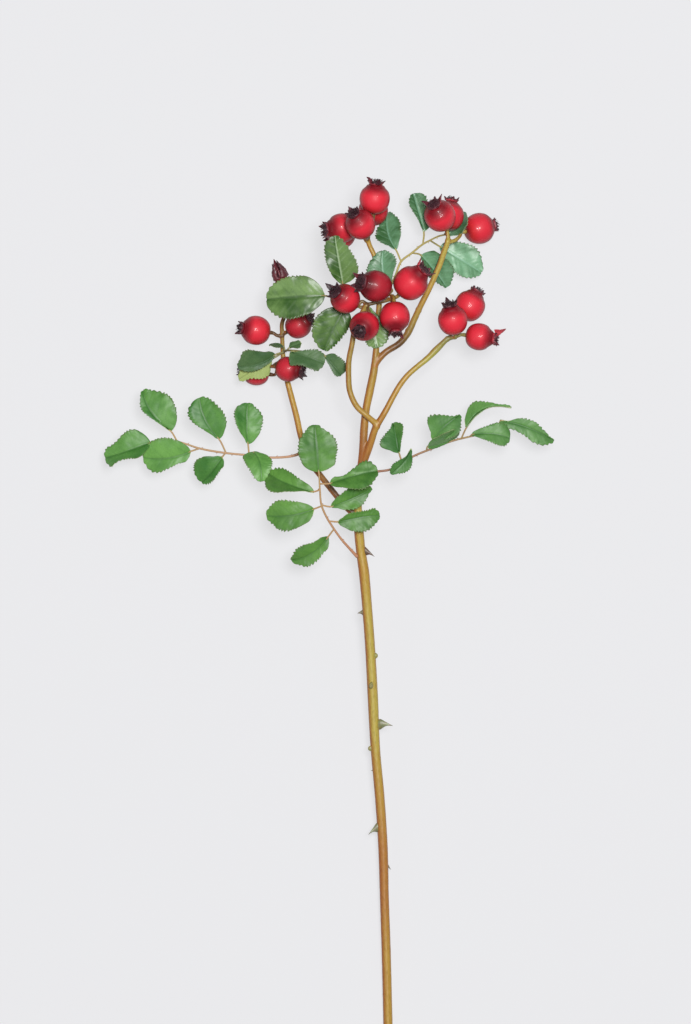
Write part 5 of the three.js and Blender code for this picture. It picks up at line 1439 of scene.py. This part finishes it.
def blade_margins(leaflet, shape, sizes, s, draw):
    """A blade's margins at shares s of its length: how far they reach from the midrib on each side, how far
    their teeth and the rows lean to the tip, and how far the midrib bows."""
    along, face, left = blade_frame(leaflet)
    length = blade_length(leaflet)
    lateral = unit([-along[1], along[0], 0.0])
    seen_left, seen_right, bow = shape
    if left.dot(lateral) < 0:
        seen_left, seen_right, bow = seen_right, seen_left, -bow
    bend = bow / max(0.5, abs(left.dot(lateral))) * 4 * s * (1 - s)
    middle = bow * 4 * s * (1 - s)
    edge_at = s + 0.1 * np.sin(math.pi * s) * (1 - s)
    least = 0.35 * np.sin(math.pi * s) ** 0.5
    reaches, hooks = [], []
    for widths, sign, fold in ((seen_left, 1, leaflet["folds"][0]), (seen_right, -1, leaflet["folds"][1])):
        tilt = math.radians(fold)
        side = left * sign * math.cos(tilt) + face * math.sin(tilt)
        seen = max(0.45, abs(side.dot(lateral)))
        reach = np.maximum((half_widths(widths, edge_at) - sign * middle) / seen, least)
        reach = np.minimum(reach, leaflet["width"] * 0.8)
        notch = saw_teeth(edge_at, sizes.teeth + draw.choice([-1, 0, 1, 2]), draw.uniform(0.12, 0.3), draw)
        deep = notch * sizes.tooth_depth / MM * np.clip(reach / 4, 0.35, 1)
        reaches.append(np.maximum(reach - deep, 0.1))
        hooks.append((1 - notch) * 0.3 / length)
    return reaches, hooks, edge_at, bend


def blade_sheet(leaflet, margins, gloss, sizes, s, t, draw):
    """A blade's middle surface, at shares s of its length and t of its half widths, and at each point how
    much of a vein and of the rim it is. It swells between the veins, curls at the rim and waves."""
    reaches, hooks, edge_at, bend = margins
    _, face, left = blade_frame(leaflet)
    length = blade_length(leaflet)
    shift = np.array([draw.uniform(0, 90) for _ in range(3)])
    curl = [draw.uniform(-0.2, 0.75), draw.uniform(-0.2, 0.75)]
    vein_start = [draw.uniform(0, 1), draw.uniform(0, 1)]
    share = np.abs(t)
    folds = np.radians([leaflet["folds"][0] if side > 0 else leaflet["folds"][1] for side in t])
    sheet, vein, edge = [], [], []
    for i in range(len(s)):
        reach = np.where(t > 0, reaches[0][i], reaches[1][i])
        hook = np.where(t > 0, hooks[0][i], hooks[1][i])
        u = s[i] + (edge_at[i] - s[i] + hook * share**4) * share
        out = reach * share
        phase = (u * length - out * SIDE_VEIN_SLANT) * SIDE_VEINS / length + np.where(t > 0, *vein_start)
        phase = phase + 0.22 * np.sin(phase * 2.3 + shift[0])
        between = np.abs(np.sin(math.pi * phase))
        on_vein = np.exp(-(((phase + 0.5) % 1.0 - 0.5) / 0.06) ** 2)
        high = np.sin(folds) * out * (0.85 + 0.15 * share)
        high = high - sizes.midrib_depth / MM * np.exp(-(out / 0.5) ** 2)
        full = np.clip(share * 3.5, 0, 1) * (1 - share**3)
        high = high + sizes.quilt / MM * (0.8 + 0.9 * gloss) * full * (between - 0.55)
        high = high - np.where(t > 0, *curl) * share**4 * np.clip(reach / 6, 0, 1)
        broad = []
        for j in range(len(t)):
            wide = Vector((u[j] * length * 0.11 + shift[0], t[j] * reach[j] * 0.11 + shift[1], shift[2]))
            narrow = Vector((u[j] * length * 0.27, t[j] * reach[j] * 0.27 + shift[1], shift[0]))
            broad.append(noise.noise(wide) + 0.5 * noise.noise(narrow))
        high = high + sizes.wave / MM * np.array(broad) * np.clip(0.25 + share, 0, 1)
        offset = bend[i] + np.sign(t) * out * np.cos(folds)
        row = midrib_point(leaflet, np.minimum(u, 1.0))
        sheet.append(row + left * offset[:, None] + face * high[:, None])
        vein.append(np.maximum(0.85 * np.exp(-(out / 0.26) ** 2), 0.4 * on_vein * (1 - share**2)))
        edge.append(np.clip((share - 0.9) / 0.1, 0, 1) * 0.55)
    return np.array(sheet), np.array(vein), np.array(edge)


def sheet_normals(sheet, face):
    """Which way a surface faces at each of its points, on the side of face."""
    normals = np.cross(np.gradient(sheet, axis=1), np.gradient(sheet, axis=0))
    normals /= np.maximum(np.linalg.norm(normals, axis=2), 1e-9)[:, :, None]
    return -normals if (normals * face).sum() < 0 else normals


def blade_shell(sheet, normals, above, below):
    """Points and faces of the blade above and below its middle surface, with a wall round its rim."""
    upper = (sheet + normals * above).reshape(-1, 3)
    lower = (sheet - normals * below[:, :, None]).reshape(-1, 3)
    rows, columns = sheet.shape[:2]
    count = rows * columns
    faces = grid_faces(rows, columns, False)
    flipped = [tuple(corner + count for corner in reversed(quad)) for quad in faces]
    rim = list(range(columns)) + [(i + 1) * columns - 1 for i in range(1, rows)]
    rim += [(rows - 1) * columns + j for j in range(columns - 2, -1, -1)]
    rim += [i * columns for i in range(rows - 2, 0, -1)]
    walls = []
    for corner, after in zip(rim, rim[1:] + rim[:1]):
        walls.append((corner, corner + count, after + count, after))
    return np.concatenate([upper, lower]), [*faces, *flipped, *walls]


def blade_mesh(leaflet, shape, pale, pale_rib, gloss, sizes, draw):
    """A leaflet blade: saw-toothed, folded and sunk along its midrib, a little wavy, closed at its rim."""
    even, ends = np.linspace(0.004, 0.996, BLADE_ROWS), np.linspace(0.02, 0.98, BLADE_ROWS)
    s = (1 - np.cos(ends * math.pi)) / 2 * 0.55 + even * 0.45
    inward = np.linspace(1, 0, BLADE_SIDE_COLUMNS + 1)[:-1]
    t = np.concatenate([-inward ** 0.9, np.linspace(0, 1, BLADE_SIDE_COLUMNS + 1) ** 0.9])
    face = blade_frame(leaflet)[1]
    margins = blade_margins(leaflet, shape, sizes, s, draw)
    sheet, vein, edge = blade_sheet(leaflet, margins, gloss, sizes, s, t, draw)
    normals = sheet_normals(sheet, face)
    half = sizes.blade_thickness / MM / 2
    reach_left, reach_right = margins[0]
    reach = np.where(t > 0, reach_left[:, None], reach_right[:, None])
    below = half + 0.25 * np.exp(-(np.abs(t) * reach / 0.35) ** 2) + 0.06 * vein
    points, faces = blade_shell(sheet, normals, half, below)
    count = len(points) // 2
    # Painted light and shade: paler where the blade leans towards a fixed way, darker where it leans away
    lit = np.clip((normals - face) @ PAINTED_LIGHT_WAY / 0.3, -1, 1).ravel()
    values = {
        "vein": np.concatenate([vein.ravel(), vein.ravel() * 0.4]),
        "edge": np.concatenate([edge.ravel(), np.zeros(count)]),
        "under": np.concatenate([np.zeros(count), np.ones(count)]),
        "cast": np.full(count * 2, pale + draw.uniform(-0.05, 0.05)),
        "lit": np.concatenate([lit, lit]),
        "pale_rib": np.full(count * 2, float(pale_rib)),
    }
    return points, faces, values


def stalk_prickles(way, draw):
    """Tiny hooked prickles under a leaf's main stalk."""
    meshes = []
    directions = ring_frames(way[:, :3])[0]
    for k in range(8, len(way) - 6, 11):
        side = unit(np.cross(directions[k], [0, 0, 1])) * draw.choice([-1, 1])
        out = unit(side + np.array([0, 0, -0.4]))
        share = np.linspace(0, 1, 6)[:, None]
        line = way[k, :3] + out * share * 1.25 - directions[k] * share**2 * 0.6
        radii = np.interp(share[:, 0], [0, 0.4, 1], [0.42, 0.24, 0.04])[:, None]
        meshes.append(tube_mesh(np.concatenate([line, radii], axis=1), 6, {"cast": np.full(6, -0.4)}))
    return meshes


def stalk_meshes(leaf, shapes, draw):
    """The leaf's main stalk, the leaflets' own stalks, and tiny prickles on the main stalk."""
    way = smooth_way(leaf["rachis"], 0.7)
    way[:, 3] = way[:, 3] * np.linspace(1.0, 0.78, len(way))
    meshes = [tube_mesh(way, 10, {"cast": np.linspace(-0.3, 0.25, len(way))})]
    for leaflet, shape in zip(leaf["leaflets"], shapes):
        along, face, left = blade_frame(leaflet)
        lateral = unit([-along[1], along[0], 0.0])
        share = np.array([0.03, 0.1, 0.22, 0.4])
        seen = left.dot(lateral)
        bend = shape[2] / max(0.5, abs(seen)) * 4 * share * (1 - share) * np.sign(seen)
        under = face * np.array([[0.3], [0.62], [0.72], [0.74]])
        run = midrib_point(leaflet, share) + left * bend[:, None] - under
        stations = [[*leaflet["root"], 0.46], *([*p, r] for p, r in zip(run, [0.42, 0.36, 0.3, 0.16]))]
        stalk = smooth_way(stations, 0.6)
        meshes.append(tube_mesh(stalk, 8, {"cast": np.full(len(stalk), 0.15)}))
    return meshes + stalk_prickles(way, draw)


class SPRIG_OT_leaves(bpy.types.Operator):
    """Builds the leaflets' blades and the leaf stalks that carry them"""

    bl_idname = "sprig.leaves"
    bl_label = "Leaves"

    def execute(self, context):
        sizes = context.scene.sprig_sizes
        for name, leaf in LEAVES.items():
            draw = random.Random(f"{SEED} {name}")
            look = LEAF_LOOKS[name]
            stalk_code, gloss = look[4:]
            shapes = LEAFLET_SHAPES[name]
            blades = []
            for i, (leaflet, shape, pale) in enumerate(zip(leaf["leaflets"], shapes, LEAFLET_CASTS[name])):
                pale_rib = i in PAINTED_HIGHLIGHT_MIDRIBS.get(name, [])
                blades.append(blade_mesh(leaflet, shape, pale, pale_rib, gloss, sizes, draw))
            make_piece(f"{name}_blades", joined(blades), leaf_tissue(f"{name}_tissue", look), [name])
            stalks = joined(stalk_meshes(leaf, shapes, draw))
            skin = leaf_stalk_skin(f"{name}_stalk_skin", stalk_code)
            make_piece(f"{name}_stalks", stalks, skin, [name])
        return {"FINISHED"}


# Stage

def lay_floor(scene, stage):
    """A wide pale board under the sprig."""
    signs = ((-1, -1), (1, -1), (1, 1), (-1, 1))
    corners = [(x * FLOOR_REACH, y * FLOOR_REACH, -FLOOR_DROP) for x, y in signs]
    mesh = bpy.data.meshes.new("floor")
    mesh.from_pydata(corners, [], [(0, 1, 2, 3)])
    mesh.materials.append(lit_board(stage.floor_colour, stage.floor_glow))
    floor = bpy.data.objects.new("floor", mesh)
    scene.collection.objects.link(floor)


def set_lights(scene, stage):
    """Even light all round, and three soft area lights: name, place, width and power."""
    world = bpy.data.worlds.new("studio")
    world.use_nodes = True
    world.node_tree.nodes["Background"].inputs["Color"].default_value = (1, 1, 1, 1)
    world.node_tree.nodes["Background"].inputs["Strength"].default_value = stage.ambient
    scene.world = world
    lights = [
        ("key", (0.34, 0.42, 3.5), 0.8, stage.key_power),
        ("fill", (-1.6, -0.8, 2.2), 1.4, stage.fill_power),
        ("rim", (1.2, 1.8, 1.6), 1.2, stage.rim_power),
    ]
    for name, place, width, power in lights:
        light = bpy.data.lights.new(name, "AREA")
        light.size = width
        light.energy = power
        lamp = bpy.data.objects.new(name, light)
        lamp.location = place
        lamp.rotation_euler = (Vector(LIGHTS_AIM) - Vector(place)).to_track_quat("-Z", "Y").to_euler()
        scene.collection.objects.link(lamp)


def set_camera(scene, stage):
    """A camera straight above the picture's middle, with a lens that frames the picture's height."""
    lens = bpy.data.cameras.new("camera")
    lens.sensor_width = SENSOR_WIDTH
    lens.lens = SENSOR_WIDTH * (stage.camera_height - PICTURE_LEVEL) / stage.picture_height
    lens.clip_end = 50.0
    camera = bpy.data.objects.new("camera", lens)
    camera.location = (stage.picture_x, stage.picture_y, stage.camera_height)
    scene.collection.objects.link(camera)
    scene.camera = camera


class SPRIG_OT_stage(bpy.types.Operator):
    """Lays the pale floor, sets soft studio light and looks down as the photograph does"""

    bl_idname = "sprig.stage"
    bl_label = "Stage"

    def execute(self, context):
        scene = context.scene
        lay_floor(scene, scene.sprig_stage)
        set_lights(scene, scene.sprig_stage)
        set_camera(scene, scene.sprig_stage)
        scene.view_settings.view_transform = "Standard"
        return {"FINISHED"}


class SprigSizes(bpy.types.PropertyGroup):
    """Sizes of the sprig's finish"""

    wood_voxel: bpy.props.FloatProperty(
        name="Wood grid", description="Grid on which the branches are fused", default=0.4 * MM, unit="LENGTH")
    bark_relief: bpy.props.FloatProperty(
        name="Bark relief", description="Height of the bark's unevenness", default=0.05 * MM, unit="LENGTH")
    blade_thickness: bpy.props.FloatProperty(
        name="Blade thickness", description="Thickness of a leaflet's blade", default=0.34 * MM,
        unit="LENGTH")
    teeth: bpy.props.IntProperty(name="Teeth", description="Teeth on each side of a leaflet", default=11)
    tooth_depth: bpy.props.FloatProperty(
        name="Tooth depth", description="Depth of the notches between teeth", default=1.0 * MM, unit="LENGTH")
    midrib_depth: bpy.props.FloatProperty(
        name="Midrib depth", description="How far the midrib is sunk", default=0.3 * MM, unit="LENGTH")
    quilt: bpy.props.FloatProperty(
        name="Quilting", description="How far the blade swells between its veins", default=0.07 * MM,
        unit="LENGTH")
    wave: bpy.props.FloatProperty(
        name="Wave", description="How far the blade's edge waves", default=0.9 * MM, unit="LENGTH")


def colour_property(name, description, code):
    """A colour kept as an sRGB hex value."""
    return bpy.props.StringProperty(name=name, description=description, default=code, maxlen=7)


class SprigColours(bpy.types.PropertyGroup):
    """Colours of the sprig, as sRGB hex values"""

    bark_gold: colour_property("Golden bark", "Bark of the young wood", "#B08C3C")
    bark_ochre: colour_property("Ochre bark", "Bark that has seen more sun", "#A87436")
    bark_straw: colour_property("Straw bark", "Palest bark", "#B2A04A")
    bark_olive: colour_property("Olive bark", "Bark with green under it", "#9C843E")
    bark_russet: colour_property("Russet bark", "Bark in the forks", "#8A5430")
    bark_umber: colour_property("Umber bark", "Oldest and darkest bark", "#5E4228")
    bark_moss: colour_property("Moss bark", "Yellow-green sleeve under the hips' stalks", "#A8A24A")
    bark_sage: colour_property("Sage bark", "Grey-green stalks", "#807C48")
    # Ruddy patches of the bark, and the colour of its painted shade on the left side and underneath
    bark_ruddy_and_shade: colour_property("Ruddy bark", "Bark on the flanks, most on the sunny left", "#A05C2C")
    bark_streak: colour_property("Bark streak", "Streaks along the bark", "#8C6A44")
    bark_fleck: colour_property("Bark fleck", "Corky flecks", "#6B4A2C")
    prickle_root: colour_property("Prickle root", "Foot of a prickle", "#98853F")
    prickle_green: colour_property("Green prickle", "Lower part of a prickle", "#6F7050")
    prickle_pale: colour_property("Pale prickle", "Upper part of a prickle", "#9A9A7C")
    prickle_tip: colour_property("Prickle tip", "Point of a prickle", "#54503C")
    prickle_brown: colour_property("Brown prickle", "A ruddy prickle", "#5E3E30")
    prickle_bud: colour_property("Bud", "Resting buds and old scars", "#918C4E")
    hip_stalk_end: colour_property("Hip at the stalk", "Skin round the stalk", "#CC262C")
    hip_skin: colour_property("Hip", "Skin of a ripe hip", "#DD2E3E")
    hip_calyx_end: colour_property("Hip at the calyx", "Skin round the calyx", "#7A0F1C")
    hip_pore: colour_property("Hip pore", "Pale pores of the skin", "#E2606A")
    wine_light: colour_property("Wine hip at the stalk", "Skin of a wine-dark hip round its stalk", "#9C1A26")
    wine_skin: colour_property("Wine hip", "Skin of a wine-dark hip", "#8E1E2A")
    wine_deep: colour_property("Wine hip at the calyx", "Skin of a wine-dark hip round its calyx", "#4E1218")
    sepal_dark: colour_property("Dark sepal", "Driest parts of the calyx", "#20131A")
    sepal_brown: colour_property("Brown sepal", "Dry parts of the calyx", "#47212A")
    sepal_wine: colour_property("Wine sepal", "Half-dry parts of the calyx", "#7C303A")
    sepal_red: colour_property("Red sepal", "Fleshy parts of the calyx", "#BE404A")


class SprigStage(bpy.types.PropertyGroup):
    """Floor, light and camera"""

    floor_colour: colour_property("Floor", "Opal board of the floor", "#646466")
    floor_glow: bpy.props.FloatProperty(
        name="Floor glow", description="Light from below the floor", default=0.74)
    ambient: bpy.props.FloatProperty(
        name="Ambient", description="Strength of the light all round", default=0.09)
    key_power: bpy.props.FloatProperty(
        name="Key", description="Power of the light overhead", default=128.0, unit="POWER")
    fill_power: bpy.props.FloatProperty(
        name="Fill", description="Power of the light at the left", default=6.0, unit="POWER")
    rim_power: bpy.props.FloatProperty(
        name="Rim", description="Power of the light beyond the tips", default=4.0, unit="POWER")
    camera_height: bpy.props.FloatProperty(
        name="Camera height", description="Height of the camera over the floor", default=4.0, unit="LENGTH")
    picture_height: bpy.props.FloatProperty(
        name="Picture height", description="Height of the picture at the sprig", default=0.512, unit="LENGTH")
    picture_x: bpy.props.FloatProperty(
        name="Picture middle X", description="Place of the picture's middle", default=0.00807, unit="LENGTH")
    picture_y: bpy.props.FloatProperty(
        name="Picture middle Y", description="Place of the picture's middle", default=0.05727, unit="LENGTH")


STEPS = (
    SPRIG_OT_stem, SPRIG_OT_prickles, SPRIG_OT_cut_face, SPRIG_OT_hips, SPRIG_OT_calyxes, SPRIG_OT_leaves,
    SPRIG_OT_stage,
)


class SPRIG_PT_panel(bpy.types.Panel):
    """Lists the sprig's pieces with their sizes and colours"""

    bl_idname = "SPRIG_PT_panel"
    bl_label = "Rose Hip Sprig"
    bl_space_type = "VIEW_3D"
    bl_region_type = "UI"
    bl_category = "Rose Hips"

    def draw(self, context):
        for step in STEPS:
            self.layout.operator(step.bl_idname)
        for group in (context.scene.sprig_sizes, context.scene.sprig_colours, context.scene.sprig_stage):
            for name in group.bl_rna.properties.keys():
                if name not in ("rna_type", "name"):
                    self.layout.prop(group, name)


CLASSES = (SprigSizes, SprigColours, SprigStage, *STEPS, SPRIG_PT_panel)


def register():
    """Registers the classes and hangs their settings on the scene."""
    for cls in CLASSES:
        bpy.utils.register_class(cls)
    bpy.types.Scene.sprig_sizes = bpy.props.PointerProperty(type=SprigSizes)
    bpy.types.Scene.sprig_colours = bpy.props.PointerProperty(type=SprigColours)
    bpy.types.Scene.sprig_stage = bpy.props.PointerProperty(type=SprigStage)


def unregister():
    """Takes the settings and the classes away again."""
    del bpy.types.Scene.sprig_stage
    del bpy.types.Scene.sprig_colours
    del bpy.types.Scene.sprig_sizes
    for cls in reversed(CLASSES):
        bpy.utils.unregister_class(cls)


def main():
    """Builds everything in order."""
    register()
    bpy.ops.sprig.stem()
    bpy.ops.sprig.prickles()
    bpy.ops.sprig.cut_face()
    bpy.ops.sprig.hips()
    bpy.ops.sprig.calyxes()
    bpy.ops.sprig.leaves()
    bpy.ops.sprig.stage()


if __name__ == "__main__":
    main()
